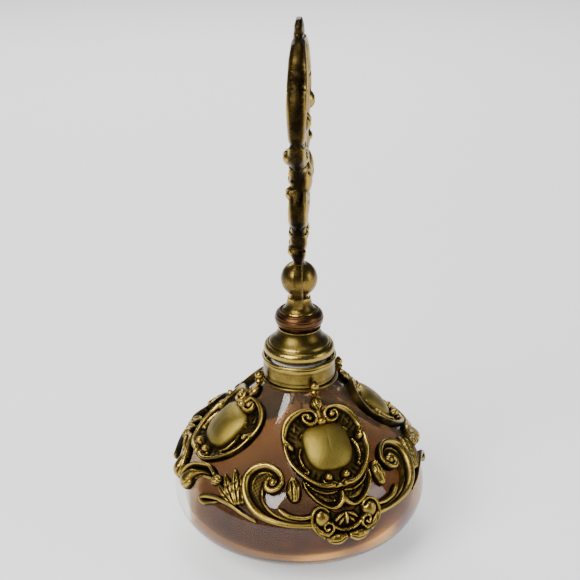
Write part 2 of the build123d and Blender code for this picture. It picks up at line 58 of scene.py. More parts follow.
# %% [markdown]
# ## The glass as a ruler
# Every ornament lies on the shoulder of the glass, so the glass's own outline is the ruler. Its
# meridian is three arcs: a waisted cone, a round shoulder and a tighter curve under the belly. A
# point of the pattern is (t, s): t millimetres sideways and s millimetres down the meridian.

# %% The meridian of the glass
BELLY_Z = 18.5
SHOULDER_ARC = 21.0
SHOULDER_TURN = math.radians(51.3)
LOW_ARC = 12.0
LOW_TURN = math.radians(52.6)
NECK_BASE = (11.5, 53.4)
GLASS_WALL = 2.8

shoulder_x = BODY_R - SHOULDER_ARC
cone_r = shoulder_x + SHOULDER_ARC * math.cos(SHOULDER_TURN)
cone_z = BELLY_Z + SHOULDER_ARC * math.sin(SHOULDER_TURN)
chord = (NECK_BASE[0] - cone_r, NECK_BASE[1] - cone_z)
lean = chord[0] * math.cos(SHOULDER_TURN) + chord[1] * math.sin(SHOULDER_TURN)
CONE_ARC = (chord[0] ** 2 + chord[1] ** 2) / (2 * lean)
CONE_LENGTH = 2 * math.asin(math.hypot(*chord) / 2 / CONE_ARC) * CONE_ARC
SHOULDER_LENGTH = SHOULDER_TURN * SHOULDER_ARC


def meridian(s, h=0.0):
    """Radius and height at arc length s down from the neck base, h off the glass."""
    s = np.asarray(s, float)
    on_cone = s < CONE_LENGTH
    on_shoulder = s < CONE_LENGTH + SHOULDER_LENGTH
    past = s - CONE_LENGTH
    a = np.where(on_cone, SHOULDER_TURN + past / CONE_ARC, SHOULDER_TURN - past / SHOULDER_ARC)
    a = np.where(on_shoulder, a, -(past - SHOULDER_LENGTH) / LOW_ARC)
    arc = np.where(on_cone, -CONE_ARC, np.where(on_shoulder, SHOULDER_ARC, LOW_ARC))
    mid_r = np.where(on_cone, cone_r + CONE_ARC * math.cos(SHOULDER_TURN),
                     np.where(on_shoulder, shoulder_x, BODY_R - LOW_ARC))
    mid_z = np.where(on_cone, cone_z + CONE_ARC * math.sin(SHOULDER_TURN), BELLY_Z)
    return mid_r + (arc + h) * np.cos(a), mid_z + (arc + h) * np.sin(a)


def on_glass(points, h):
    """Pattern points, h off the glass, on the side that faces -Y, in metres."""
    turn = points[:, 0] / meridian(points[:, 1])[0]
    r, z = meridian(points[:, 1], h)
    return np.stack([r * np.sin(turn), -r * np.cos(turn), z], 1) * MM


print("cone length, mm:", round(CONE_LENGTH, 2), "shoulder length, mm:", round(SHOULDER_LENGTH, 2))

# %% [markdown]
# ## Curves, ridges and domes
# Cast ornament is mostly three things: an edge that follows a curve, a ridge that swells and
# tapers, and a dome. Each is a height over the pattern, so a whole ornament is a few heights
# added together. The larger height wins where two meet, with a small blend, as in poured metal.

# %% Curves through a few points
def curve(points, closed=False, per_span=10):
    """A smooth curve through the points (Catmull-Rom), as an array of places."""
    p = np.array(points, float)
    if closed:
        p = np.vstack([p[-1], p, p[:2]])
    else:
        p = np.vstack([2 * p[0] - p[1], p, 2 * p[-1] - p[-2]])
    u = np.linspace(0, 1, per_span, endpoint=False)[:, None]
    spans = []
    for a, b, c, d in zip(p, p[1:], p[2:], p[3:]):
        spans.append(b + (c - a) * u / 2 + (a - 2.5 * b + 2 * c - d / 2) * u ** 2
                     + (-a / 2 + 1.5 * b - 1.5 * c + d / 2) * u ** 3)
    out = np.vstack(spans)
    return out if closed else np.vstack([out, p[-2]])


def evenly(path, step, closed=True):
    """The same path with its points a step apart."""
    line = np.vstack([path, path[:1]]) if closed else path
    run = np.concatenate([[0], np.cumsum(np.linalg.norm(np.diff(line, axis=0), axis=1))])
    count = max(8, int(run[-1] / step))
    at = np.linspace(0, run[-1], count, endpoint=not closed)
    return np.stack([np.interp(at, run, line[:, k]) for k in range(line.shape[1])], 1)


def to_path(points, path):
    """Distance from each point to the path, and how far along it the nearest place is."""
    best = np.full(len(points), 1e9)
    along = np.zeros(len(points))
    for k, (a, b) in enumerate(zip(path, path[1:])):
        d = b - a
        u = np.clip(((points - a) @ d) / max(d @ d, 1e-12), 0, 1)
        gap = np.linalg.norm(points - a - u[:, None] * d, axis=1)
        near = gap < best
        best = np.where(near, gap, best)
        along = np.where(near, k + u, along)
    return best, along / (len(path) - 1)


def inside(points, loop):
    """Which points lie inside the closed loop."""
    odd = np.zeros(len(points), bool)
    x, y = points.T
    for (ax, ay), (bx, by) in zip(loop, np.roll(loop, -1, axis=0)):
        if ay != by:
            crosses = (ay > y) != (by > y)
            odd ^= crosses & (x < (bx - ax) * (y - ay) / (by - ay) + ax)
    return odd


def blend(a, b, soft=0.18):
    """The larger of two heights, with a small fillet where they meet."""
    k = np.clip(0.5 + (a - b) / (2 * soft), 0, 1)
    return a * k + b * (1 - k) + soft * k * (1 - k)


class Relief:
    """Heights over a set of pattern points."""

    def __init__(self, points, loop, ground):
        self.p = points
        self.edge = to_path(points, np.vstack([loop, loop[:1]]))[0]
        self.h = np.full(len(points), ground)

    def raise_to(self, height):
        self.h = blend(self.h, height)

    def ridge(self, path, width, height, base=0.5):
        """A round ridge; width and height may be lists along its path."""
        line = curve(path, per_span=8)
        gap, along = to_path(self.p, line)
        w = 1.15 * np.interp(along, np.linspace(0, 1, np.size(width)), np.atleast_1d(width))
        top = np.interp(along, np.linspace(0, 1, np.size(height)), np.atleast_1d(height))
        q = np.clip(gap / w, 0, 1)
        lift = np.where(gap < w, base + (top - base) * np.sqrt(1 - q ** 2), -1.0)
        self.raise_to(lift)

    def dome(self, centre, radius, height, base=0.5, power=0.5):
        """A round or oval dome; radius is one number or a pair."""
        rx, ry = np.broadcast_to(radius, 2)
        q = ((self.p[:, 0] - centre[0]) / rx) ** 2 + ((self.p[:, 1] - centre[1]) / ry) ** 2
        lift = np.where(q < 1, base + (height - base) * np.clip(1 - q, 0, 1) ** power, -1.0)
        self.raise_to(lift)

    def groove(self, path, width, depth):
        gap, _ = to_path(self.p, curve(path, per_span=8))
        self.h = self.h - depth * np.exp(-(gap / width) ** 2)

    def round_edge(self, radius, least=0.35):
        """Rounds the outline over, as a file and years of handling do."""
        q = np.clip(self.edge / radius, 0, 1)
        self.h = least + (self.h - least) * np.sqrt(1 - (1 - q) ** 2)


print("relief tools ready")

# %% [markdown]
# ## From heights to a closed casting
# The outline and a lattice of points inside it are triangulated together, so the rim of the piece
# is exactly its outline. The same triangles, turned over, make the back, and a strip of faces
# joins the two. Each corner also remembers how worn it is: crests are rubbed bright, and hollows
# keep their dark patina.

# %% Triangulate, raise and close
def lattice(loop, step):
    """Points inside a loop, on a staggered lattice, clear of the edge."""
    low, high = loop.min(0), loop.max(0)
    rows = np.arange(low[1], high[1], step * 0.87)
    found = []
    for k, y in enumerate(rows):
        x = np.arange(low[0] + (k % 2) * step / 2, high[0], step)
        found.append(np.stack([x, np.full(len(x), y)], 1))
    points = np.vstack(found)
    points = points[inside(points, loop)]
    gap, _ = to_path(points, np.vstack([loop, loop[:1]]))
    return points[gap > step * 0.6]


def sheet(outline, step):
    """Triangles that fill an outline: places, faces and the evenly spaced loop."""
    loop = evenly(np.array(outline), step)
    points = np.vstack([loop, lattice(loop, step)])
    count = len(loop)
    edges = [(k, (k + 1) % count) for k in range(count)]
    flat, _, faces, _, _, _ = delaunay_2d_cdt([Vector(p) for p in points], edges, [], 1, 1e-5)
    return np.array([tuple(p) for p in flat]), np.array([tuple(f) for f in faces]), loop


def spread_out(values, faces, rounds):
    """Values averaged with their neighbours a number of times."""
    pairs = np.vstack([faces[:, [0, 1]], faces[:, [1, 2]], faces[:, [2, 0]]])
    share = np.bincount(pairs[:, 0], minlength=len(values)).astype(float)
    share = np.maximum(share, 1)
    for _ in range(rounds):
        total = np.bincount(pairs[:, 0], weights=values[pairs[:, 1]], minlength=len(values))
        values = (values + total / share) / 2
    return values


GROUND = 0.8
SMOOTH_ROUNDS = 14
WEAR_LEAST, WEAR_BY_HEIGHT, WEAR_BY_CREST = 0.22, 0.30, 2.2
UNDERSIDE_WEAR = 0.3
CAST_CREASE, TURNED_CREASE = math.radians(55), math.radians(42)


def casting(outline, shape, step=0.24, place=on_glass, back=0.12):
    """A closed solid: places, faces and wear. shape(relief) sets the heights."""
    points, faces, loop = sheet(outline, step)
    relief = Relief(points, loop, GROUND)
    shape(relief)
    h = relief.h
    proud = h - spread_out(h, faces, SMOOTH_ROUNDS)
    wear = np.clip(WEAR_BY_HEIGHT * (h - 0.6) / 2.0 + proud * WEAR_BY_CREST + WEAR_LEAST, 0, 1)
    a, b, c = (points[faces[:, k]] for k in range(3))
    cross = (b - a)[:, 0] * (c - a)[:, 1] - (b - a)[:, 1] * (c - a)[:, 0]
    faces = np.where(cross[:, None] > 0, faces[:, ::-1], faces)
    top = place(points, h)
    under = place(points, np.full(len(points), back))
    ends = np.vstack([faces[:, [0, 1]], faces[:, [1, 2]], faces[:, [2, 0]]])
    seen = {tuple(e) for e in ends}
    rim = np.array([e for e in seen if (e[1], e[0]) not in seen])
    count = len(points)
    walls = np.vstack([
        np.stack([rim[:, 1], rim[:, 0], rim[:, 0] + count], 1),
        np.stack([rim[:, 1], rim[:, 0] + count, rim[:, 1] + count], 1),
    ])
    all_faces = np.vstack([faces, faces[:, ::-1] + count, walls])
    return np.vstack([top, under]), all_faces, np.concatenate([wear, wear * UNDERSIDE_WEAR])


def turned_to(places, degrees):
    a = math.radians(degrees)
    spin = np.array([[math.cos(a), -math.sin(a), 0], [math.sin(a), math.cos(a), 0], [0, 0, 1]])
    return places @ spin.T


def mirrored(solid):
    places, faces, wear = solid
    return places * np.array([-1, 1, 1]), faces[:, ::-1], wear


def joined(solids):
    """Several solids as one, for a node that holds a group."""
    places, faces, wear = [], [], []
    start = 0
    for p, f, w in solids:
        places.append(p)
        faces.append(f + start)
        wear.append(w)
        start += len(p)
    return np.vstack(places), np.vstack(faces), np.concatenate(wear)


def add_object(name, data):
    """A new object in the scene for a mesh, a light or a camera."""
    thing = bpy.data.objects.new(name, data)
    bpy.context.scene.collection.objects.link(thing)
    return thing


def build(name, solid, degrees=0.0):
    """A mesh object at the origin from places, faces and wear."""
    places, faces, wear = solid
    mesh = bpy.data.meshes.new(name)
    mesh.from_pydata(turned_to(places, degrees).tolist(), [], faces.tolist())
    layer = mesh.attributes.new("wear", "FLOAT", "POINT")
    layer.data.foreach_set("value", wear.astype(np.float32))
    mesh.shade_smooth()
    mesh.set_sharp_from_angle(angle=CAST_CREASE)
    return add_object(name, mesh)


def finish_piece(piece, material, body, slot, *nodes):
    """Gives a piece its finish, its body and the nodes that it stands for."""
    piece.data.materials.clear()
    piece.data.materials.append(material)
    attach(piece, body)
    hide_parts(*nodes)
    return piece


def cast_on_jacket(node, solid, degrees=0.0):
    """A casting of the jacket, turned round the axis, in place of its node."""
    piece = build(node + "_cast", solid, degrees)
    return finish_piece(piece, jacket_brass, "bottle", "jacket_brass", node)


def cast_on_finial(name, node, solid):
    """A casting of the finial, in place of its node."""
    finish_piece(build(name, solid), finial_brass, "stopper", "finial_brass", node)


print("casting tools ready")

# %% [markdown]
# ## Aged brass
# The jacket was gilt once. Handling has rubbed the crests to a bright yellow, and the hollows hold
# a brown-black patina. The wear that each casting carries chooses between three colours, and two
# noises break it up: a broad one for tarnish and a fine one for the grain of the casting.

# %% A patinated metal
def tree_of(name):
    material = bpy.data.materials.new(name)
    material.use_nodes = True
    nodes = material.node_tree.nodes
    return material, nodes, material.node_tree.links, nodes["Principled BSDF"]


def noise(nodes, links, scale, detail=4.0, rough=0.55):
    """A noise on Object coordinates."""
    place = nodes.new("ShaderNodeTexCoord")
    texture = nodes.new("ShaderNodeTexNoise")
    texture.inputs["Scale"].default_value = scale
    texture.inputs["Detail"].default_value = detail
    texture.inputs["Roughness"].default_value = rough
    links.new(place.outputs["Object"], texture.inputs["Vector"])
    return texture


def maths(nodes, links, kind, a, b):
    node = nodes.new("ShaderNodeMath")
    node.operation = kind
    for socket, value in zip(node.inputs, (a, b)):
        if isinstance(value, (int, float)):
            socket.default_value = value
        else:
            links.new(value, socket)
    return node.outputs[0]


def ramp(nodes, links, factor, stops):
    node = nodes.new("ShaderNodeValToRGB")
    while len(node.color_ramp.elements) < len(stops):
        node.color_ramp.elements.new(0.5)
    for element, (at, colour) in zip(node.color_ramp.elements, stops):
        element.position = at
        element.color = (*colour, 1)
    links.new(factor, node.inputs["Fac"])
    return node.outputs["Color"]


def remap(nodes, links, value, start, end, low=0.0, high=1.0, kind="LINEAR"):
    """low where the value is at start, high where it is at end."""
    band = nodes.new("ShaderNodeMapRange")
    band.interpolation_type = kind
    ends = {"From Min": start, "From Max": end, "To Min": low, "To Max": high}
    for socket, number in ends.items():
        band.inputs[socket].default_value = number
    links.new(value, band.inputs["Value"])
    return band.outputs["Result"]


def rough_up(nodes, links, shader, height, strength, depth):
    """A small bump, on top of the shape."""
    relief = nodes.new("ShaderNodeBump")
    relief.inputs["Strength"].default_value = strength
    relief.inputs["Distance"].default_value = depth
    links.new(height, relief.inputs["Height"])
    links.new(relief.outputs["Normal"], shader.inputs["Normal"])


def aged_metal(name, colours, roughness, grain=2600, bump=0.25, tarnish=0.30):
    """colours: hollow, flat and crest. roughness: in hollows and on crests."""
    material, nodes, links, shader = tree_of(name)
    wear = nodes.new("ShaderNodeAttribute")
    wear.attribute_name = "wear"
    broad = noise(nodes, links, 140, detail=6, rough=0.65)
    fine = noise(nodes, links, grain, detail=3, rough=0.6)
    shift = maths(nodes, links, "SUBTRACT", broad.outputs["Fac"], 0.5)
    shift = maths(nodes, links, "MULTIPLY", shift, tarnish * 2)
    speck = maths(nodes, links, "SUBTRACT", fine.outputs["Fac"], 0.5)
    speck = maths(nodes, links, "MULTIPLY", speck, 0.30)
    level = maths(nodes, links, "ADD", wear.outputs["Fac"], maths(nodes, links, "ADD", shift,
                                                                  speck))
    hollow, flat, crest = colours
    stops = [(0.08, hollow), (0.42, flat), (0.80, crest)]
    links.new(ramp(nodes, links, level, stops), shader.inputs["Base Color"])
    links.new(remap(nodes, links, level, 0.1, 0.85, *roughness), shader.inputs["Roughness"])
    shader.inputs["Metallic"].default_value = 1.0
    height = maths(nodes, links, "ADD", fine.outputs["Fac"], maths(nodes, links, "MULTIPLY",
                                                                   broad.outputs["Fac"], 1.5))
    rough_up(nodes, links, shader, height, bump, 0.00025)
    return material


HOLLOW = (0.010, 0.007, 0.003)
OLIVE = (0.088, 0.058, 0.013)
GOLD = (0.37, 0.250, 0.052)
jacket_brass = aged_metal("jacket brass", (HOLLOW, OLIVE, GOLD), (0.55, 0.24))
SATIN = ((0.04, 0.028, 0.007), (0.17, 0.123, 0.022), (0.36, 0.265, 0.058))
FINIAL = ((0.008, 0.005, 0.002), (0.085, 0.055, 0.014), (0.42, 0.275, 0.060))
COLLAR = ((0.008, 0.005, 0.002), (0.088, 0.060, 0.014), (0.35, 0.250, 0.058))
COPPER = ((0.006, 0.003, 0.002), (0.030, 0.014, 0.006), (0.13, 0.060, 0.022))
satin_brass = aged_metal("satin brass", SATIN, (0.50, 0.36), grain=3200, bump=0.5, tarnish=0.16)
finial_brass = aged_metal("finial brass", FINIAL, (0.42, 0.16), tarnish=0.34)
collar_brass = aged_metal("collar brass", COLLAR, (0.42, 0.20), tarnish=0.30)
copper = aged_metal("dark copper", COPPER, (0.45, 0.24), tarnish=0.25)
print("metals:", jacket_brass.name, satin_brass.name, finial_brass.name, collar_brass.name,
      copper.name)

# %% [markdown]
# ## Glass, cement and the soft sleeve
# The glass is smoky amber under a thin metallic film. A tinted transmission gives the amber, and
# soft patches are laid over it: a paler grey-brown towards the top, two painted orange glows of
# light shining through the amber and a dark violet patch low on the front, and one side tinted
# nearly clear, a painted pale streak of light where the wall shows white. The cement is a chalky
# filler, and the sleeve is a milky plastic. Both are nearly hidden, but show when the stopper lifts.

# %% Clear and dull materials
def mask(nodes, links, operation, vector, start, end):
    """0 to 1 from start to end, by distance from a place or along a direction."""
    where = nodes.new("ShaderNodeTexCoord")
    measure = nodes.new("ShaderNodeVectorMath")
    measure.operation = operation
    links.new(where.outputs["Object"], measure.inputs[0])
    measure.inputs[1].default_value = vector
    return remap(nodes, links, measure.outputs["Value"], start, end, kind="SMOOTHSTEP")


def near(place, reach):
    """The mask of a soft round patch, as arguments for mask()."""
    return "DISTANCE", place, reach, reach * 0.25


def toward(direction, start, end):
    return "DOT_PRODUCT", direction, start, end


def mixed(nodes, links, factor, under, over):
    """One colour laid over another where the factor is 1."""
    node = nodes.new("ShaderNodeMix")
    node.data_type = "RGBA"
    links.new(factor, node.inputs["Factor"])
    for socket, value in ((node.inputs["A"], under), (node.inputs["B"], over)):
        if isinstance(value, tuple):
            socket.default_value = (*value, 1)
        else:
            links.new(value, socket)
    return node.outputs["Result"]


def tinted_glass(name, colour, film, patches=()):
    """patches: pairs of near() or toward() and a colour, laid over the tint in turn."""
    material, nodes, links, shader = tree_of(name)
    tint = noise(nodes, links, 38, detail=2)
    deep = tuple(c * 0.62 for c in colour)
    shade = ramp(nodes, links, tint.outputs["Fac"], [(0.35, deep), (0.65, colour)])
    for place, patch in patches:
        shade = mixed(nodes, links, mask(nodes, links, *place), shade, patch)
    links.new(shade, shader.inputs["Base Color"])
    smear = noise(nodes, links, 260, detail=5)
    links.new(remap(nodes, links, smear.outputs["Fac"], 0.35, 0.75, 0.015, 0.085),
              shader.inputs["Roughness"])
    shader.inputs["Transmission Weight"].default_value = 1.0 if not patches else 0.92
    shader.inputs["IOR"].default_value = 1.50
    shader.inputs["Thin Film Thickness"].default_value = film
    shader.inputs["Thin Film IOR"].default_value = 1.45
    shader.inputs["Specular IOR Level"].default_value = 0.22 if patches else 0.5
    return material


def chalky(name, dark, pale, rough):
    material, nodes, links, shader = tree_of(name)
    mottle = noise(nodes, links, 900, detail=6)
    links.new(ramp(nodes, links, mottle.outputs["Fac"], [(0.3, dark), (0.7, pale)]),
              shader.inputs["Base Color"])
    shader.inputs["Roughness"].default_value = rough
    rough_up(nodes, links, shader, mottle.outputs["Fac"], 0.3, 0.0002)
    return material


# A paler grey-brown laid over the tint towards the top of the glass, from 19 to 36 mm up.
UPPER_GREY_BROWN = (0.50, 0.375, 0.245)
amber_glass = tinted_glass("amber glass", (0.290, 0.125, 0.028), 110,
                           [(toward((0, 0, 1), 0.019, 0.036), UPPER_GREY_BROWN),
                            # Two painted orange glows: light shining through the amber, low on the
                            # front.
                            (near((-0.0064, -0.0361, 0.006), 0.014), (1.0, 0.50, 0.09)),
                            (near((0.0159, -0.0340, 0.009), 0.015), (1.0, 0.50, 0.09)),
                            (near((0.0225, -0.0293, 0.0145), 0.0095), (0.07, 0.012, 0.030)),
                            # A painted pale streak of light: the left edge of the glass is tinted
                            # nearly clear, where the wall shows white.
                            (toward((-0.934, 0.358, 0), 0.0325, 0.0340), (0.93, 0.92, 0.88))])
clear_glass = tinted_glass("dauber glass", (0.95, 0.92, 0.86), 0)
cement = chalky("cement", (0.52, 0.47, 0.38), (0.74, 0.70, 0.60), 0.85)
milky = chalky("milky plastic", (0.72, 0.69, 0.60), (0.86, 0.83, 0.76), 0.45)
print("clear and dull:", amber_glass.name, clear_glass.name, cement.name, milky.name)

# %% [markdown]
# ## Turned pieces, by one Geometry Nodes tree
# The bottle, collar, cap and ring are all turned: one outline swept round the axis. That is a
# rule, so one node tree makes them all. It lays out a grid, reads each row's radius and height
# from the outline's points, and wraps the columns round the axis. It also carries the wear.

# %% The turning tree
def new_tree(name, geometry, numbers, result):
    """An empty tree that takes a geometry, some numbers and a material."""
    tree = bpy.data.node_groups.new(name, "GeometryNodeTree")
    face = tree.interface
    face.new_socket(geometry, in_out="INPUT", socket_type="NodeSocketGeometry")
    for label, kind, value in numbers:
        face.new_socket(label, in_out="INPUT", socket_type=kind).default_value = value
    face.new_socket("Finish", in_out="INPUT", socket_type="NodeSocketMaterial")
    face.new_socket(result, in_out="OUTPUT", socket_type="NodeSocketGeometry")
    return tree, tree.nodes.new("NodeGroupInput"), tree.nodes.new("NodeGroupOutput")


def close_tree(tree, geometry, start, end):
    """Real geometry with its finish, as the result of the tree."""
    real = tree.nodes.new("GeometryNodeRealizeInstances")
    tree.links.new(geometry, real.inputs["Geometry"])
    finish = tree.nodes.new("GeometryNodeSetMaterial")
    tree.links.new(real.outputs[0], finish.inputs["Geometry"])
    tree.links.new(start.outputs["Finish"], finish.inputs["Material"])
    tree.links.new(finish.outputs[0], end.inputs[0])
    return tree


def turning_tree():
    tree, start, end = new_tree("turned", "Outline", [("Sides", "NodeSocketInt", 96)], "Turned")
    node = tree.nodes.new
    link = tree.links.new

    def calc(kind, a, b):
        return maths(tree.nodes, tree.links, kind, a, b)

    size = node("GeometryNodeAttributeDomainSize")
    link(start.outputs["Outline"], size.inputs["Geometry"])
    rows = size.outputs["Point Count"]
    grid = node("GeometryNodeMeshGrid")
    link(calc("ADD", start.outputs["Sides"], 1), grid.inputs["Vertices X"])
    link(rows, grid.inputs["Vertices Y"])
    index = node("GeometryNodeInputIndex")
    column = calc("FLOOR", calc("DIVIDE", calc("ADD", index.outputs[0], 0.5), rows), 0)
    row = calc("SUBTRACT", index.outputs[0], calc("MULTIPLY", column, rows))
    turn = calc("MULTIPLY", calc("DIVIDE", column, start.outputs["Sides"]), 2 * math.pi)
    place = node("GeometryNodeInputPosition")

    def read(kind, value):
        sample = node("GeometryNodeSampleIndex")
        sample.data_type = kind
        link(start.outputs["Outline"], sample.inputs["Geometry"])
        link(value, sample.inputs["Value"])
        link(row, sample.inputs["Index"])
        return sample.outputs["Value"]

    apart = node("ShaderNodeSeparateXYZ")
    link(read("FLOAT_VECTOR", place.outputs[0]), apart.inputs[0])
    wrap = node("ShaderNodeCombineXYZ")
    link(calc("MULTIPLY", apart.outputs["X"], calc("COSINE", turn, 0)), wrap.inputs["X"])
    link(calc("MULTIPLY", apart.outputs["X"], calc("SINE", turn, 0)), wrap.inputs["Y"])
    link(apart.outputs["Z"], wrap.inputs["Z"])
    moved = node("GeometryNodeSetPosition")
    link(grid.outputs["Mesh"], moved.inputs["Geometry"])
    link(wrap.outputs[0], moved.inputs["Position"])
    known = node("GeometryNodeInputNamedAttribute")
    known.data_type = "FLOAT"
    known.inputs["Name"].default_value = "wear"
    store = node("GeometryNodeStoreNamedAttribute")
    store.data_type = "FLOAT"
    store.inputs["Name"].default_value = "wear"
    link(moved.outputs[0], store.inputs["Geometry"])
    link(read("FLOAT", known.outputs["Attribute"]), store.inputs["Value"])
    weld = node("GeometryNodeMergeByDistance")
    weld.inputs["Distance"].default_value = 2e-6
    link(store.outputs[0], weld.inputs["Geometry"])
    return close_tree(tree, weld.outputs[0], start, end)


TURNED = turning_tree()


def set_inputs(modifier, **values):
    """Sets a node modifier's inputs by their sockets' identifiers."""
    for item in modifier.node_group.interface.items_tree:
        if item.item_type == "SOCKET" and item.in_out == "INPUT" and item.name in values:
            modifier[item.identifier] = values[item.name]


def plain(carrier, name):
    """The evaluated shape as a plain mesh object; the carrier goes."""
    depsgraph = bpy.context.evaluated_depsgraph_get()
    mesh = bpy.data.meshes.new_from_object(carrier.evaluated_get(depsgraph))
    mesh.name = name
    bpy.data.objects.remove(carrier)
    shell = bmesh.new()
    shell.from_mesh(mesh)
    bmesh.ops.remove_doubles(shell, verts=shell.verts, dist=1e-6)
    bmesh.ops.dissolve_degenerate(shell, edges=shell.edges, dist=1e-7)
    bmesh.ops.recalc_face_normals(shell, faces=shell.faces)
    shell.to_mesh(mesh)
    shell.free()
    mesh.shade_smooth()
    mesh.set_sharp_from_angle(angle=TURNED_CREASE)
    return add_object(name, mesh)


def turned(name, outline, material, wear=None, sides=128):
    """A turned piece from a closed outline of (radius, height), in millimetres."""
    closed = list(outline) + [outline[0]]
    mesh = bpy.data.meshes.new(name + " outline")
    mesh.from_pydata([(r * MM, 0, z * MM) for r, z in closed], [], [])
    layer = mesh.attributes.new("wear", "FLOAT", "POINT")
    values = wear if wear is not None else edge_wear(np.array(outline))
    layer.data.foreach_set("value", np.append(values, values[0]).astype(np.float32))
    carrier = add_object(name + " outline", mesh)
    modifier = carrier.modifiers.new("turned", "NODES")
    modifier.node_group = TURNED
    set_inputs(modifier, Sides=sides, Finish=material)
    return plain(carrier, name)


def edge_wear(outline):
    """Wear round an outline: the places that stand out are bright, the creases dark."""
    smooth = outline.copy()
    for _ in range(24):
        smooth = (smooth + np.roll(smooth, 1, 0) + np.roll(smooth, -1, 0)) / 3
    proud = outline[:, 0] - smooth[:, 0]
    return np.clip(0.52 + proud * 1.6, 0.05, 1)


def turn_piece(name, outline, material, body, slot, node, wear=None, sides=128):
    """Turns a piece and gives it its finish, its body and the node that it stands for."""
    return finish_piece(turned(name, outline, material, wear, sides), material, body, slot, node)


def arc(centre, radius, start, end, count=12):
    """Points on an arc, with angles in degrees."""
    a = np.radians(np.linspace(start, end, count))
    return [(centre[0] + radius * math.cos(x), centre[1] + radius * math.sin(x)) for x in a]


def fine_outline(points, step):
    """The closed outline with extra points along its straight runs."""
    return [tuple(p) for p in evenly(np.array(points, float), step)]


print("turning tree has", len(TURNED.nodes), "nodes")

# %% [markdown]
# ## The bottle
# Clear glass needs a real wall: light bends once at each of its four surfaces. The outline goes
# up the outside, over the lip, down the bore and back under the floor, and the turning tree
# sweeps it. The foot ring and the hollow under it are part of the same outline.

# %% Turn the bottle
NECK_R, NECK_STEP, NECK_TOP, BORE_R = 9.6, 2.0, 61.0, 6.6
GLASS_FLOOR, FOOT_R, FOOT_WIDTH, PUNT = 4.6, 22.4, 2.2, 1.4


def meridian_run(start, end, h, count):
    r, z = meridian(np.linspace(start, end, count), h)
    return list(zip(r, z))


def bottle_outline():
    low_mid = (BODY_R - LOW_ARC, BELLY_Z)
    turn = math.degrees(LOW_TURN)
    all_down = CONE_LENGTH + SHOULDER_LENGTH
    outer_low = arc(low_mid, LOW_ARC, -turn, -2, 16)
    inner_low = arc(low_mid, LOW_ARC - GLASS_WALL, -2, -turn, 14)
    slope = outer_low[0][1] / (outer_low[0][0] - FOOT_R)
    floor_r = inner_low[-1][0] - (inner_low[-1][1] - GLASS_FLOOR) / slope
    under = [(0, PUNT + 0.5), (8, PUNT + 0.45), (15, PUNT + 0.2), (FOOT_R - FOOT_WIDTH - 0.5,
                                                                   PUNT - 0.2)]
    ring = arc((FOOT_R - FOOT_WIDTH + 0.5, 0.5), 0.5, 180, 270, 5) + arc((FOOT_R - 0.6, 0.6), 0.6,
                                                                         270, 320, 5)
    outside = outer_low + meridian_run(all_down, 0.4, 0, 70)
    neck = [(NECK_R, NECK_BASE[1] + NECK_STEP), (NECK_R, NECK_TOP - 0.5), (NECK_R - 0.5, NECK_TOP),
            (BORE_R + 0.4, NECK_TOP), (BORE_R, NECK_TOP - 0.4), (BORE_R, NECK_BASE[1] + 1.2)]
    inner = meridian_run(0.2, all_down, -GLASS_WALL, 60) + inner_low
    floor = [(floor_r + 0.6, GLASS_FLOOR + 0.5), (floor_r - 1.0, GLASS_FLOOR),
             (12, GLASS_FLOOR - 0.1), (0, GLASS_FLOOR - 0.15)]
    return under + ring + outside + neck + inner + floor


bottle = turn_piece("glass_bottle_turned", bottle_outline(), amber_glass, "bottle", "amber_glass",
                    "glass_bottle", sides=160)
print("bottle faces:", len(bottle.data.polygons))

# %% [markdown]
# ## Collar, cap and copper ring
# These were spun and turned from brass. Their outlines are arcs and short straights, and each
# arris is broken, because a knife-sharp edge never survives use and catches no light. The
# copper ring is turned with fine lines, which are small steps in its outline.

# %% Turn the collar
COLLAR_R, COLLAR_WALL, COLLAR_Z, COLLAR_TALL = 10.25, 0.7, 54.9, 6.6
LIP_WIRE, SKIRT_WIRE = 0.55, 0.45
LIP_Z = COLLAR_Z + COLLAR_TALL


def collar_outline():
    out = COLLAR_R + COLLAR_WALL
    lines = [(out, COLLAR_Z + 0.3)]
    for z in (1.5, 2.0, 5.2):
        lines += [(out, COLLAR_Z + z - 0.16), (out - 0.10, COLLAR_Z + z),
                  (out, COLLAR_Z + z + 0.16)]
    return [(COLLAR_R, COLLAR_Z)] + [(out - 0.2, COLLAR_Z)] + lines + [
        (out, LIP_Z - 0.2), (out - 0.15, LIP_Z), (COLLAR_R, LIP_Z)]


def wire_ring(name, r, z, wire, wear_and_shade, node):
    # The level sets the wire's wear; for the skirt wire it is set low as painted shade.
    worn = np.clip(wear_and_shade + 0.30 * np.cos(np.radians(np.linspace(-20, 325, 20))), 0.1, 1)
    turn_piece(name, arc((r, z), wire, 0, 345, 20), collar_brass, "bottle", "collar_brass", node,
               wear=worn)


turn_piece("collar_band_turned", fine_outline(collar_outline(), 0.2), collar_brass, "bottle",
           "collar_brass", "collar_band")
wire_ring("collar_lip_ring", COLLAR_R + LIP_WIRE, LIP_Z + LIP_WIRE, LIP_WIRE, 0.45, "collar_lip")
skirt_r = COLLAR_R + COLLAR_WALL + 0.04 + SKIRT_WIRE
# The skirt wire's low level, 0.22, is painted shade: it darkens the wire where the collar's base
# sits in shadow.
wire_ring("collar_skirt_ring", skirt_r, COLLAR_Z + SKIRT_WIRE, SKIRT_WIRE, 0.22, "collar_skirt")
low, high, inner, outer = COLLAR_Z + 0.6, LIP_Z - 0.6, NECK_R + 0.04, COLLAR_R - 0.04
filler_outline = [(inner, low), (outer, low), (outer, high), (inner, high)]
turn_piece("neck_filler", filler_outline, cement, "bottle", "cement", "neck_cement")
print("collar, lip, skirt and filler turned")

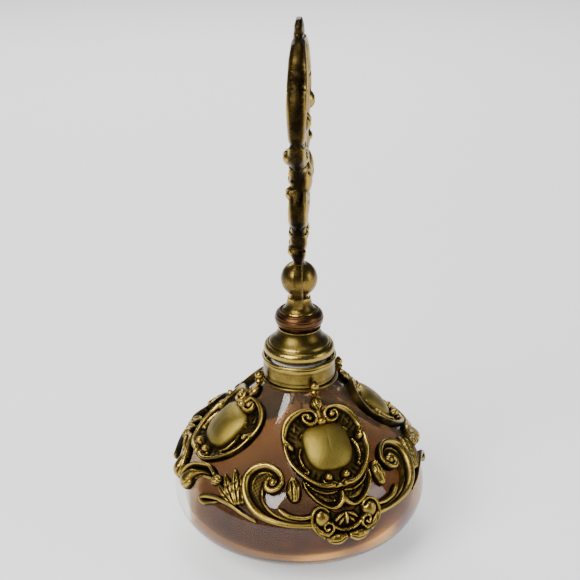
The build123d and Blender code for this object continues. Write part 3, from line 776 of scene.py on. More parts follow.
# %% Turn the cap, the ring and the finial's foot
REST_GAP = 0.30
CAP_Z = LIP_Z + 2 * LIP_WIRE + REST_GAP
MOULDING_R, MOULDING_TALL = 10.8, 3.7
DOME_R, DOME_NECK_R, DOME_TALL = 9.2, 6.1, 5.2
DOME_Z = CAP_Z + MOULDING_TALL
RING_Z = DOME_Z + DOME_TALL
RING_R, RING_TALL, DISH_R, DISH_DEEP = 7.4, 5.4, 5.7, 1.0
FOOT_Z = RING_Z + RING_TALL - DISH_DEEP
FLARE_R, STEM_R, FOOT_TALL = 5.3, 3.6, 5.4
BALL_R = 5.5
BALL_Z = FOOT_Z + FOOT_TALL + 0.1 + BALL_R
FINIAL_Z = BALL_Z + BALL_R + 0.1


def cap_outline():
    bore = MOULDING_R - 1.4
    bulge = arc((MOULDING_R - 2.05, CAP_Z + MOULDING_TALL / 2), 2.0, -62, 62, 18)
    bell = curve([(DOME_R, DOME_Z), (DOME_R - 0.35, DOME_Z + 0.7), (7.5, DOME_Z + 2.0),
                  (6.55, DOME_Z + 3.5), (6.2, DOME_Z + 4.5)], per_span=6)
    lines = [(6.55, DOME_Z + 4.7), (6.65, DOME_Z + 4.95), (6.45, DOME_Z + 5.15),
             (1.6, DOME_Z + DOME_TALL)]
    inside_run = [(1.6, RING_Z - 1), (DOME_NECK_R - 1, RING_Z - 1), (DOME_R - 1.6, DOME_Z),
                  (bore, DOME_Z - 0.6), (bore, CAP_Z + 0.2)]
    rim = [(bore + 0.15, CAP_Z), (MOULDING_R - 1.15, CAP_Z)]
    crease = [(DOME_R + 0.25, DOME_Z - 0.28), (DOME_R + 0.02, DOME_Z - 0.05)]
    return rim + bulge + crease + [tuple(p) for p in bell] + lines + inside_run


def ring_outline():
    z = RING_Z + 0.04
    belly = []
    for k, (r, y) in enumerate(arc((RING_R - 2.9, z + 2.75), 2.9, -58, 60, 25)):
        line = 0.13 if k % 6 == 3 else 0.0
        belly.append((r - line, y))
    top = RING_Z + RING_TALL
    return [(1.6, z), (5.9, z)] + belly + [(5.9, top - 0.05), (DISH_R + 0.05, top - 0.1),
                                           (DISH_R - 0.3, top - 0.4),
                                           (DISH_R - 0.4, top - DISH_DEEP), (1.6, top - DISH_DEEP)]


def foot_outline():
    z = FOOT_Z + 0.04
    flare = curve([(FLARE_R, z + 0.8), (4.5, z + 1.6), (3.9, z + 2.8), (STEM_R, z + 4.2),
                   (STEM_R - 0.1, FOOT_Z + FOOT_TALL - 0.3)], per_span=6)
    return [(0, z), (FLARE_R - 0.2, z), (FLARE_R, z + 0.25)] + [tuple(p) for p in flare] + [
        (STEM_R - 0.4, FOOT_Z + FOOT_TALL), (0, FOOT_Z + FOOT_TALL)]


turn_piece("cap_shell_turned", fine_outline(cap_outline(), 0.22), collar_brass, "stopper",
           "collar_brass", "cap_shell")
turn_piece("copper_ring_turned", fine_outline(ring_outline(), 0.15), copper, "stopper", "copper",
           "copper_ring")
turn_piece("finial_foot_turned", fine_outline(foot_outline(), 0.2), finial_brass, "stopper",
           "finial_brass", "finial_foot")
print("cap from", round(CAP_Z, 2), "mm; ball centre at", round(BALL_Z, 2), "mm")

# %% [markdown]
# ## Dauber, sleeve and what fills the cap
# Under the cap is a glass plug with a long rod that ends in a rounded tip. It turns in a thin
# sleeve, which seals the neck. All of them are turned, and they show when the stopper is out.

# %% Turn the dauber and its sleeve
SLEEVE_OUT = BORE_R - 0.05
SLEEVE_IN = SLEEVE_OUT - 0.65
PLUG_R = SLEEVE_IN - 0.05
SLEEVE_Z = NECK_TOP - 5.2
PLUG_Z = SLEEVE_Z + 0.4
HEAD_R, ROD_R, TIP_R, TIP_Z = 7.6, 1.6, 2.3, 10.0
HEAD_Z = RING_Z - 1.0 - 2.2 - 0.6 - 1.6


def dauber_outline():
    tip = arc((0, TIP_Z + TIP_R), TIP_R, -90, 0, 10)
    swell = curve([(TIP_R, TIP_Z + TIP_R), (2.0, TIP_Z + 4.5), (ROD_R, TIP_Z + 7.5)],
                  per_span=6)[1:]
    plug = [(ROD_R, PLUG_Z - 0.8), (PLUG_R - 0.3, PLUG_Z), (PLUG_R, PLUG_Z + 0.3),
            (PLUG_R, CAP_Z + 0.2), (HEAD_R, CAP_Z + 0.2), (HEAD_R, HEAD_Z), (0, HEAD_Z)]
    return tip + [tuple(p) for p in swell] + plug


sleeve_top = NECK_TOP + 0.85
sleeve_shape = [(SLEEVE_IN, SLEEVE_Z), (SLEEVE_OUT, SLEEVE_Z), (SLEEVE_OUT, NECK_TOP + 0.05),
                (8.7, NECK_TOP + 0.05), (8.8, sleeve_top - 0.1), (8.6, sleeve_top),
                (SLEEVE_IN, sleeve_top)]
turn_piece("dauber_turned", dauber_outline(), clear_glass, "stopper", "clear_glass", "dauber",
           sides=64)
turn_piece("seal_sleeve_turned", sleeve_shape, milky, "sleeve", "sleeve", "seal_sleeve", sides=96)
for node, material in (("plug_cement", cement), ("cap_nut", collar_brass)):
    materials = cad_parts[node].data.materials
    if not materials:
        materials.append(material)
    for k in range(len(materials)):
        materials[k] = material
print("dauber rod reaches down to", TIP_Z, "mm")

# %% [markdown]
# ## The cartouches
# Each of the four sides has a heart-shaped cartouche. A raised scroll runs round its edge and
# curls inwards at the top, over a dark ribbed ground. The piece is its own mirror image, so its
# heights are worked out with the distance from the axis, and both halves come out the same.

# %% Shape the cartouche
SIDES = {"front": 0, "right": 90, "back": 180, "left": -90}
MEDALLION_S = 16.6
MEDALLION_HALF = 7.35
SQUARENESS = 2.9
cartouche_edge = [(0, 6.6), (1.4, 5.1), (3.4, 4.5), (5.6, 4.8), (8.4, 6.3), (10.9, 9.1),
                  (12.6, 12.6), (13.2, 16.3), (12.9, 20), (11.6, 23.6), (9.3, 26.5), (6.3, 28.6),
                  (3, 29.4), (0, 29.5)]


def both_sides(half):
    """A closed smooth outline from its right half, top to bottom."""
    left = [(-t, s) for t, s in reversed(half[1:-1])]
    return curve(half + left, closed=True)


def folded(relief):
    """Measures a mirror-image piece from its axis."""
    relief.p = relief.p.copy()
    relief.p[:, 0] = np.abs(relief.p[:, 0])
    return relief


def rounded_square(p, centre, half, power=SQUARENESS):
    """1 on the edge of a rounded square, 0 at its centre."""
    return (np.abs((p[:, 0] - centre[0]) / half) ** power
            + np.abs((p[:, 1] - centre[1]) / half) ** power) ** (1 / power)


def shape_cartouche(relief):
    p = folded(relief).p
    relief.h[:] = 0.70
    ray = np.arctan2(p[:, 1] - MEDALLION_S, p[:, 0])
    reach = np.hypot(p[:, 0], p[:, 1] - MEDALLION_S)
    ribs = 0.07 * np.sin(ray * 38) * np.clip((reach - 8.6) / 1.2, 0, 1)
    slope = 1.25 * np.clip(1 - relief.edge / 3.6, 0, 1) ** 1.4
    relief.h = relief.h + ribs + slope
    relief.round_edge(0.5)
    relief.ridge([(1.3, 7.6), (1.35, 6.1), (2.2, 4.95), (3.5, 4.75), (5.6, 5.15), (8.2, 6.7),
                  (10.5, 9.3), (12.0, 12.6), (12.3, 15.4)], [0.55, 0.85, 1.05, 1.05, 0.85],
                 [2.6, 2.9, 2.7, 2.5, 2.3])
    relief.ridge([(1.3, 7.6), (2.2, 8.9), (3.7, 9.1), (4.9, 8.2), (5.0, 6.9), (4.2, 6.2),
                  (3.3, 6.5)], [0.60, 0.62, 0.55, 0.6], [2.8, 2.8, 2.6, 2.8])
    relief.dome((3.4, 7.2), 1.15, 3.0)
    relief.ridge([(11.0, 16.6), (11.7, 15.5), (12.5, 16.4), (12.65, 18.6), (12.3, 21),
                  (11.0, 23.6), (9.1, 25.8), (6.7, 27.6), (4.3, 28.5), (1.9, 28.4)],
                 [0.5, 0.8, 0.95, 0.95, 0.7], [2.3, 2.7, 2.6, 2.4, 2.4])
    relief.dome((10.9, 16.3), (1.1, 1.4), 2.95)
    relief.ridge([(12.1, 12.9), (11.9, 14.2), (11.2, 15.2)], [0.5, 0.7], 2.3)
    relief.ridge([(8.0, 16.4), (8.9, 18.2), (9.1, 20.4), (8.7, 22.3), (7.7, 23.6)],
                 [0.25, 0.42, 0.35], [1.6, 2.0, 1.8])
    relief.ridge([(7.7, 23.6), (8.3, 24.3), (9.0, 23.9)], 0.3, 1.7)
    relief.ridge([(5.2, 11.6), (6.6, 12.2), (7.6, 13.4)], [0.2, 0.32, 0.2], 1.5)
    relief.dome((2.65, 26.0), 1.38, 3.1)
    relief.ridge([(0.8, 27.9), (1.9, 27.5), (3.9, 27.6), (4.6, 26.6)], [0.3, 0.4, 0.3], 1.9)
    relief.dome((0, 28.6), 0.95, 2.5)
    relief.dome((0, 9.3), (0.75, 0.75), 2.4)
    relief.ridge([(0, 6.4), (0, 8.6)], [0.9, 0.7], [1.2, 1.5])
    relief.ridge([(7.9, 9.3), (8.6, 11.2)], [0.15, 0.22], 1.1)


def shape_stem(relief):
    folded(relief)
    relief.h[:] = 0.9
    relief.dome((0, 3.1), (1.8, 2.3), 2.8)
    relief.ridge([(0, 3.6), (0, 5.4), (0, 7.4)], [1.2, 0.9, 1.1], [2.3, 1.9, 2.2])
    relief.dome((0, 8.6), (1.6, 1.5), 3.0)
    relief.groove([(0.75, 1.6), (0.6, 3.4), (0.1, 4.6)], 0.14, 0.35)
    relief.round_edge(0.4, 0.5)


stem_edge = [(0, 0.5), (1.5, 1.8), (1.95, 3.4), (1.2, 5.1), (1.25, 6.4), (1.8, 7.8), (1.5, 9.3),
             (0, 10.2)]
cartouche = joined([casting(both_sides(cartouche_edge), shape_cartouche),
                    casting(both_sides(stem_edge), shape_stem, step=0.16)])
for side, angle in SIDES.items():
    cast_on_jacket("cartouche_" + side, cartouche, angle)
print("cartouche triangles:", len(cartouche[1]))

# %% Shape the medallions
def shape_medallion(relief):
    p = relief.p
    edge = rounded_square(p, (0, MEDALLION_S), MEDALLION_HALF)
    dome = np.clip(1 - np.clip(edge, 0, 1) ** 2.2, 0, 1) ** 0.62
    relief.h = 0.75 + 2.75 * dome
    along = p[:, 1] * 2.2 + p[:, 0] * 1.1
    file_marks = 0.016 * np.sin(along * 5.1) * np.sin(p[:, 0] * 1.7 + p[:, 1] * 0.6)
    relief.h = relief.h + file_marks
    relief.groove([(0.1, MEDALLION_S - 5.6), (-0.25, MEDALLION_S), (0.05, MEDALLION_S + 3.4)],
                  0.16, 0.05)


def ring_points(count):
    """Evenly spaced points on a circle of radius 1."""
    around = np.linspace(0, 2 * math.pi, count + 1)[:-1]
    return np.stack([np.cos(around), np.sin(around)], 1)


circle = ring_points(96)
reach = MEDALLION_HALF / rounded_square(circle, (0, 0), 1)[:, None]
medallion_edge = reach * circle + (0, MEDALLION_S)
medallion = casting(medallion_edge, shape_medallion, step=0.3, back=0.56)
medallion = (medallion[0], medallion[1], np.clip(medallion[2] * 0.4 + 0.30, 0, 1))
for side, angle in SIDES.items():
    piece = build("medallion_" + side + "_dome", medallion, angle)
    finish_piece(piece, satin_brass, "bottle", "satin_brass", "medallion_" + side)
print("medallion triangles:", len(medallion[1]))

# %% [markdown]
# ## Below the front and back cartouches
# Two hollow lobes hang under each of these cartouches like the wings of a bat, with a small curl
# where they meet. Under them a clasp of two round bulbs, a hollow shell and two leaves ties the
# C-scrolls together. These are plain ornament, with no face in them.

# %% Shape the wing leaf and the shell clasp
wing_edge = [(0, 29.6), (4, 29.5), (7.4, 28.2), (10.1, 25.9), (10.7, 28.2), (9.3, 31.2), (7, 33.5),
             (4.3, 34.9), (1.6, 35.2), (0, 35.4)]
clasp_edge = [(0, 35.7), (2.6, 36), (4.9, 34.5), (7.2, 33.6), (9.4, 34.2), (10.7, 36.4), (10.6, 39),
              (9.2, 41.2), (7.3, 42.8), (5.6, 44.4), (3.2, 45.2), (1.2, 44.6), (0, 43.6)]


def shape_wing(relief):
    p = folded(relief).p
    relief.h[:] = 0.55
    relief.h = relief.h + 0.08 * np.sin(p[:, 0] * 5 + p[:, 1] * 3)
    relief.round_edge(0.4)
    relief.ridge([(10.2, 27.0), (9.9, 29.0), (8.3, 31.5), (6.2, 33.4), (3.8, 34.5), (1.7, 34.2),
                  (0.5, 33.0)], [0.35, 0.5, 0.5, 0.6], [1.9, 2.3, 2.3, 2.6])
    relief.ridge([(0.0, 30.6), (0.15, 32.0), (0.8, 33.3), (2.2, 34.2)], [0.5, 0.9, 0.5],
                 [2.2, 2.8, 2.3])
    relief.ridge([(2.4, 32.6), (4.9, 32.1), (7.4, 30.2)], [0.2, 0.55, 0.15], [0.9, 1.3, 0.8])
    relief.groove([(2.8, 32.5), (5.0, 32.0), (7.0, 30.5)], 0.14, 0.3)
    relief.ridge([(1.5, 30.2), (4.4, 30.3), (7.6, 29.0), (9.6, 27.0)], 0.3, 1.3)


def shape_clasp(relief):
    p = folded(relief).p
    relief.h[:] = 0.75
    relief.round_edge(0.6)
    relief.dome((7.4, 36.6), (2.5, 2.9), 3.0)
    relief.ridge([(5.2, 35.3), (6.1, 34.3), (7.6, 34.0), (9.2, 34.9), (10.1, 36.8), (10.1, 38.9),
                  (9.0, 40.8), (7.3, 42.2)], [0.4, 0.5, 0.55, 0.7], [2.1, 2.6, 2.6, 2.2])
    relief.groove([(5.7, 35.6), (7.4, 34.7), (9.0, 35.9), (9.5, 38.0)], 0.22, 0.55)
    relief.ridge([(5.2, 41.3), (4.3, 40.0), (4.7, 38.6), (6.0, 38.2), (6.9, 39.1), (6.4, 40.2),
                  (5.6, 39.8)], [0.45, 0.5, 0.42, 0.5], [2.3, 2.7, 2.6, 2.9])
    relief.ridge([(6.0, 41.6), (8.2, 40.6), (9.3, 38.9)], [0.9, 0.9, 0.5], [2.2, 2.5, 2.2])
    relief.dome((0, 38.0), (3.6, 1.7), 0.95)
    relief.ridge([(0, 36.3), (0, 37.6), (0, 39.2)], [0.4, 0.75, 0.4], [1.6, 2.1, 1.5])
    relief.ridge([(0.7, 36.5), (2.0, 37.0), (3.3, 38.2)], [0.3, 0.55, 0.3], [1.4, 1.9, 1.4])
    relief.ridge([(0.7, 37.6), (1.6, 38.4), (2.4, 39.4)], [0.25, 0.45, 0.25], [1.3, 1.7, 1.2])
    relief.ridge([(0, 40.9), (1.8, 40.7), (3.4, 39.9), (4.4, 38.9)], [0.38, 0.4, 0.35],
                 [2.2, 2.2, 1.9])
    relief.groove([(0, 41.8), (2.4, 41.5), (4.4, 41.6)], 0.3, 0.45)
    relief.ridge([(0.9, 43.0), (2.6, 43.4), (4.6, 43.3), (6.2, 42.6)], [0.9, 1.5, 1.4, 0.8],
                 [2.2, 2.6, 2.5, 1.9])
    relief.groove([(0.8, 42.9), (3.0, 43.7), (5.4, 43.6)], 0.16, 0.35)
    relief.groove([(0, 42.0), (0, 44.2)], 0.3, 0.7)


wing = casting(both_sides(wing_edge), shape_wing, step=0.2)
clasp = casting(both_sides(clasp_edge), shape_clasp, step=0.22)
for side in ("front", "back"):
    cast_on_jacket("wing_leaf_" + side, wing, SIDES[side])
    cast_on_jacket("shell_clasp_" + side, clasp, SIDES[side])
print("wing and clasp triangles:", len(wing[1]), len(clasp[1]))

# %% [markdown]
# ## The corners: C-scroll, leaves and bud
# Between two cartouches a large C-scroll winds up into a coil, with a bright outer edge and a
# pitted channel. Four veined leaves fan out of its back, a long blade springs from its foot, and
# a bud fills the gap beside it. One corner is made, and the others are its copies and mirror
# images, so that the jacket is as regular as the one cast from a single mould.

# %% Shape the corner pieces
CORNER_TURN = -45
scroll_back = [(20.6, 39.6), (15, 39.4), (10, 38.9), (5, 37.8), (1, 35.5), (-2, 31.9), (-3.2, 28),
               (-2.5, 25), (-0.5, 22.8), (2.5, 21.8), (6, 22.9), (8.3, 25.2), (9.1, 27.6),
               (8.4, 29.6), (6.3, 30.7), (4.2, 30.3)]
scroll_front = [(3.9, 31.0), (4.6, 32.9), (6.9, 34.9), (10, 36.3), (15, 37.3), (20.6, 37.6)]
scroll_edge = np.vstack([curve(scroll_back), curve(scroll_front)])


def shape_scroll(relief):
    p = relief.p
    pits = np.sin(p[:, 0] * 5.3 + 1.1) * np.sin(p[:, 1] * 4.7 + 0.4)
    relief.h = 0.95 + 0.07 * pits + 0.04 * np.sin(p[:, 0] * 11 + p[:, 1] * 7)
    relief.round_edge(0.45)
    relief.ridge([(20.5, 38.85), (15, 38.75), (10, 38.2), (5.2, 37.1), (1.5, 35.0), (-1.4, 31.6),
                  (-2.55, 28), (-1.9, 25.3), (-0.1, 23.4), (2.6, 22.5), (5.6, 23.5), (7.6, 25.4),
                  (8.4, 27.6)], [0.85, 1.00, 1.25, 1.25, 1.10, 1.00, 0.95],
                 [2.3, 2.5, 2.8, 2.8, 2.7, 2.7, 2.9])
    relief.ridge([(8.3, 27.6), (7.7, 29.1), (6.1, 29.8), (4.6, 29.2), (4.0, 27.8), (4.6, 26.6)],
                 [0.95, 0.95, 0.85, 0.7], [2.9, 3.0, 3.0, 2.9])
    relief.dome((5.9, 27.6), 1.75, 3.0, power=0.6)
    relief.ridge([(20.5, 37.95), (15, 37.65), (10.3, 36.6), (6.9, 34.9), (4.8, 33.0), (3.7, 30.9),
                  (3.2, 28.4)], [0.42, 0.55, 0.65, 0.65, 0.45], [1.7, 1.9, 2.1, 2.0, 1.5])
    relief.ridge([(0.6, 31.0), (-0.1, 28.2), (0.8, 25.6), (2.9, 24.5), (4.8, 25.0)],
                 [0.2, 0.35, 0.2], [1.0, 1.35, 1.1])


def shape_sprig(relief):
    relief.h[:] = 0.7
    relief.round_edge(0.6)
    relief.ridge([(9.6, 34.7), (12.3, 36.1), (16, 36.75), (19.0, 36.4)], [0.55, 0.75, 0.7, 0.6],
                 [1.9, 2.1, 2.0, 1.8])


sprig_edge = curve([(9.1, 34.0), (10.6, 34.2), (13, 35.4), (16, 35.9), (19, 35.5), (19.4, 37.45),
                    (15.8, 37.35), (12.4, 36.8), (9.8, 35.6)], closed=True)


def leaf_loop(base, tip, width):
    """A pointed oval from base to tip."""
    base, tip = np.array(base, float), np.array(tip, float)
    along = tip - base
    side = np.array([-along[1], along[0]]) / np.linalg.norm(along)
    u = np.linspace(0, 1, 22)
    swell = width / 2 * np.sin(math.pi * u ** 0.85) ** 0.8
    one = base + u[:, None] * along + swell[:, None] * side
    other = base + u[:, None] * along - swell[:, None] * side
    return np.vstack([one[:-1], other[::-1][:-1]])


def leaf(base, tip, width, height, veins):
    """One veined leaf that rises to a ridge and sinks to its tip."""
    def shape(relief):
        relief.h[:] = 0.9
        base_at, tip_at = np.array(base), np.array(tip)
        along = tip_at - base_at
        middle = base_at + along * 0.5
        relief.ridge([base, tuple(middle), tip], [width * 0.42, width * 0.50, width * 0.2],
                     [height * 0.85, height, height * 0.75])
        side = np.array([-along[1], along[0]]) / np.linalg.norm(along)
        relief.groove([base, tuple(middle), tuple(base_at + along * 0.93)], width * 0.07, 0.45)
        for k in range(1, veins):
            for hand in (-1, 1):
                foot = base_at + along * (0.1 + 0.22 * k)
                end = foot + along * 0.16 + side * hand * width * 0.40
                relief.groove([tuple(foot), tuple((foot + end) / 2), tuple(end)], width * 0.05,
                              0.25)
        relief.round_edge(width * 0.22, 0.4)
    return casting(leaf_loop(base, tip, width), shape, step=0.2)


def shape_blade(relief):
    relief.h[:] = 0.85
    relief.round_edge(0.5)
    relief.ridge([(-16.5, 37.7), (-14, 36.3), (-10, 35.5), (-5, 35.9), (0, 37.5), (4.0, 38.6)],
                 [0.8, 0.85, 0.80, 0.75, 0.6], [2.1, 2.1, 2.1, 2.1, 1.8])
    relief.ridge([(-16.2, 38.2), (-14.3, 38.4), (-12, 37.4), (-9.5, 36.4)], [0.85, 0.8, 0.5, 0.2],
                 [2.0, 2.0, 1.5, 1.0])
    relief.groove([(-15.5, 37.6), (-12.5, 36.9), (-9.5, 36.1)], 0.15, 0.4)


def shape_bud(relief):
    relief.h[:] = 0.9
    relief.ridge([(10.9, 26.8), (12.2, 28.9), (13.3, 31.4)], [1.5, 1.9, 1.1], [2.2, 2.8, 2.3])
    relief.groove([(10.7, 26.9), (11.9, 29.4), (12.6, 31.8)], 0.16, 0.55)
    relief.groove([(11.6, 26.6), (13.1, 29.0), (13.9, 31.4)], 0.13, 0.4)
    relief.dome((10.9, 26.0), (1.2, 1.0), 2.9)
    relief.round_edge(0.7, 0.4)


blade_edge = curve([(-16.8, 36.9), (-14, 35.6), (-10, 34.9), (-5, 35.3), (0, 37.1), (3.2, 38.3),
                    (3.2, 39.1), (0, 38.3), (-5, 36.7), (-8.5, 36.7), (-12, 38), (-14.5, 39.3),
                    (-16.6, 39.2), (-17.5, 38.1)], closed=True)
bud_edge = curve([(9.9, 25.0), (11.8, 25.3), (13.6, 27.3), (14.8, 30.0), (14.6, 32.3),
                  (12.6, 32.6), (10.4, 30.6), (9.6, 27.6)], closed=True)
scroll = joined([casting(scroll_edge, shape_scroll), casting(sprig_edge, shape_sprig, step=0.2)])
spray = joined([
    leaf((-1.3, 35.0), (-4.9, 27.0), 2.9, 2.1, 3),
    leaf((-2.2, 35.6), (-7.2, 25.6), 3.7, 2.7, 3),
    leaf((-3.2, 35.9), (-10.2, 28.2), 3.6, 2.4, 3),
    leaf((-4.6, 35.6), (-11.8, 31.6), 2.9, 2.0, 2),
])
blade = casting(blade_edge, shape_blade, step=0.2)
bud = casting(bud_edge, shape_bud, step=0.2)


def corners(solid, angle):
    """The piece at the front left, mirrored to the right, and both again at the back."""
    left = (turned_to(solid[0], angle), solid[1], solid[2])
    right = mirrored(left)
    behind = [(turned_to(s[0], 180), s[1], s[2]) for s in (left, right)]
    return {"front_left": left, "front_right": right, "back_right": behind[0],
            "back_left": behind[1]}


for name, solid in (("c_scroll", scroll), ("leaf_spray", spray), ("long_leaf", blade)):
    for corner_name, placed in corners(solid, CORNER_TURN).items():
        cast_on_jacket(name + "_" + corner_name, placed)
cast_on_jacket("leaf_buds", joined(list(corners(bud, CORNER_TURN).values())))
print("scroll, spray, blade, bud:", len(scroll[1]), len(spray[1]), len(blade[1]), len(bud[1]))

# %% [markdown]
# ## Below the side cartouches
# The side cartouches rest on two S-shaped lobes instead of a clasp. Each lobe swells into a round
# bulb and thins to an arm, and a bead ties the arm to the leaves of the corner.

# %% Shape the side lobes and their beads
lobe_edge = curve([(0.3, 37.6), (0.3, 35.2), (1.0, 33.0), (2.8, 30.9), (5.2, 29.5), (9.3, 28.2),
                   (13, 29.4), (13.3, 32), (10.6, 32.3), (8.2, 33), (7.1, 34.6), (7, 36.6),
                   (5.8, 38.7), (3.2, 39.7), (1.2, 39.2)], closed=True)


def shape_lobe(relief):
    relief.h[:] = 0.65
    relief.round_edge(0.5)
    relief.dome((3.7, 36.5), (3.1, 3.0), 3.0, power=0.6)
    relief.ridge([(3.7, 36.5), (4.6, 34.2), (6.0, 32.8), (8.4, 31.4), (11.8, 30.8)],
                 [2.4, 1.8, 0.9, 0.4, 0.2], [3.0, 2.5, 1.8, 1.2, 0.9])
    relief.ridge([(1.0, 37.6), (0.9, 35.6), (1.6, 33.5), (3.4, 31.4), (5.8, 30.1), (9.2, 28.9),
                  (12.9, 30.0)], [0.45, 0.6, 0.62, 0.55, 0.6], [2.2, 2.5, 2.6, 2.5, 2.3])
    relief.groove([(1.9, 37.0), (1.9, 35.4), (2.9, 33.3), (4.8, 31.6), (7.6, 30.4), (11.4, 30.2)],
                  0.28, 0.75)
    relief.ridge([(7.4, 34.2), (8.8, 32.8), (10.8, 32.0), (12.9, 31.5)], [0.3, 0.45, 0.5],
                 [1.5, 1.9, 2.0])
    relief.groove([(3.0, 38.4), (4.8, 37.6), (5.9, 35.8)], 0.12, 0.2)


def shape_bead(relief):
    relief.h[:] = 0.5
    relief.dome((15.0, 31.2), (2.0, 1.85), 2.9)
    for rise in (-0.9, 0.1, 1.0):
        relief.groove([(13.4, 31.2 + rise * 0.4), (15.0, 31.2 + rise), (16.6, 31.2 + rise * 0.7)],
                      0.12, 0.3)


bead_edge = ring_points(48) * (1.95, 1.8) + (15.0, 31.2)
lobe = casting(lobe_edge, shape_lobe)
bead = casting(bead_edge, shape_bead, step=0.18)
for corner_name, placed in corners(lobe, SIDES["left"]).items():
    cast_on_jacket("side_lobe_" + corner_name, placed)
cast_on_jacket("tie_beads", joined(list(corners(bead, SIDES["left"]).values())))
print("lobe and bead triangles:", len(lobe[1]), len(bead[1]))

# %% [markdown]
# ## Bellflower drops, by a second node tree
# A bead with a pointed drop hangs from the collar over each cartouche. One drop is turned, and a
# small tree sets as many copies round the axis as its number asks for.

# %% Repeat round the axis
def repeat_tree():
    numbers = [("Copies", "NodeSocketInt", 4), ("Radius", "NodeSocketFloat", 0.01)]
    tree, start, end = new_tree("round the axis", "Piece", numbers, "Ring")
    node = tree.nodes.new
    link = tree.links.new
    circle = node("GeometryNodeMeshCircle")
    link(start.outputs["Copies"], circle.inputs["Vertices"])
    link(start.outputs["Radius"], circle.inputs["Radius"])
    copies = node("GeometryNodeInstanceOnPoints")
    link(circle.outputs["Mesh"], copies.inputs["Points"])
    link(start.outputs["Piece"], copies.inputs["Instance"])
    return close_tree(tree, copies.outputs[0], start, end)


DROP_R = COLLAR_R + COLLAR_WALL + 2 * SKIRT_WIRE + 0.08 + 1.0
drop_outline = ([(0, COLLAR_Z - 1.6), (0.35, COLLAR_Z - 1.5), (1.05, COLLAR_Z - 0.3),
                 (1.40, COLLAR_Z + 0.8),
                 (1.10, COLLAR_Z + 1.3), (0.66, COLLAR_Z + 1.45)]
                + arc((0, COLLAR_Z + 2.35), 1.3, -46, 52, 12)
                + [(0.60, COLLAR_Z + 3.6), (0.50, COLLAR_Z + 3.9), (0, COLLAR_Z + 3.95)])
drops = turned("bellflower_drops_cast", drop_outline, jacket_brass, sides=28)
modifier = drops.modifiers.new("round the axis", "NODES")
modifier.node_group = repeat_tree()
set_inputs(modifier, Copies=4, Radius=DROP_R * MM, Finish=jacket_brass)
drops = plain(drops, "bellflower_drops_set")
finish_piece(drops, jacket_brass, "bottle", "jacket_brass", "bellflower_drops")
print("bellflower drops:", len(drops.data.polygons), "faces")

# %% [markdown]
# ## The finial
# The finial is a tall plate cast in two halves that meet on a flat seam. It stands nearly edge-on
# to the front, turned a little aside, so from there it is a narrow blade with a few leaves that
# stick out. Its broad faces carry a palmette between two scrolled rims. Each half is a casting
# again, placed on an upright plane.

# %% Cast the finial's two halves
FINIAL_TURN = -24.0
CROWN = 72.3
finial_edge = [(0, 72.2), (2.3, 71.8), (3.9, 70.2), (4.0, 67.9), (6.8, 66.4), (9.9, 62.9),
               (11.3, 59.2), (13.9, 55.9), (15.8, 51.4), (16.4, 46.4), (15.5, 42.0), (15.8, 38.6),
               (14.6, 35.0), (12.0, 32.9), (9.7, 31.2), (8.4, 28.0), (8.5, 24.6), (10.1, 21.6),
               (10.7, 18.0), (9.6, 14.6), (7.2, 12.4), (5.8, 9.6), (5.4, 6.2), (6.4, 4.0),
               (6.1, 1.6), (4.0, 0.35), (0, 0.12)]


def upright_plane(side):
    """Pattern (across, down from the crown) on a plane that faces left or right."""
    def place(points, h):
        x = side * np.asarray(h, float)
        flat = np.stack([x, side * points[:, 0], FINIAL_Z + CROWN - points[:, 1]], 1)
        return turned_to(flat * MM, FINIAL_TURN)
    return place


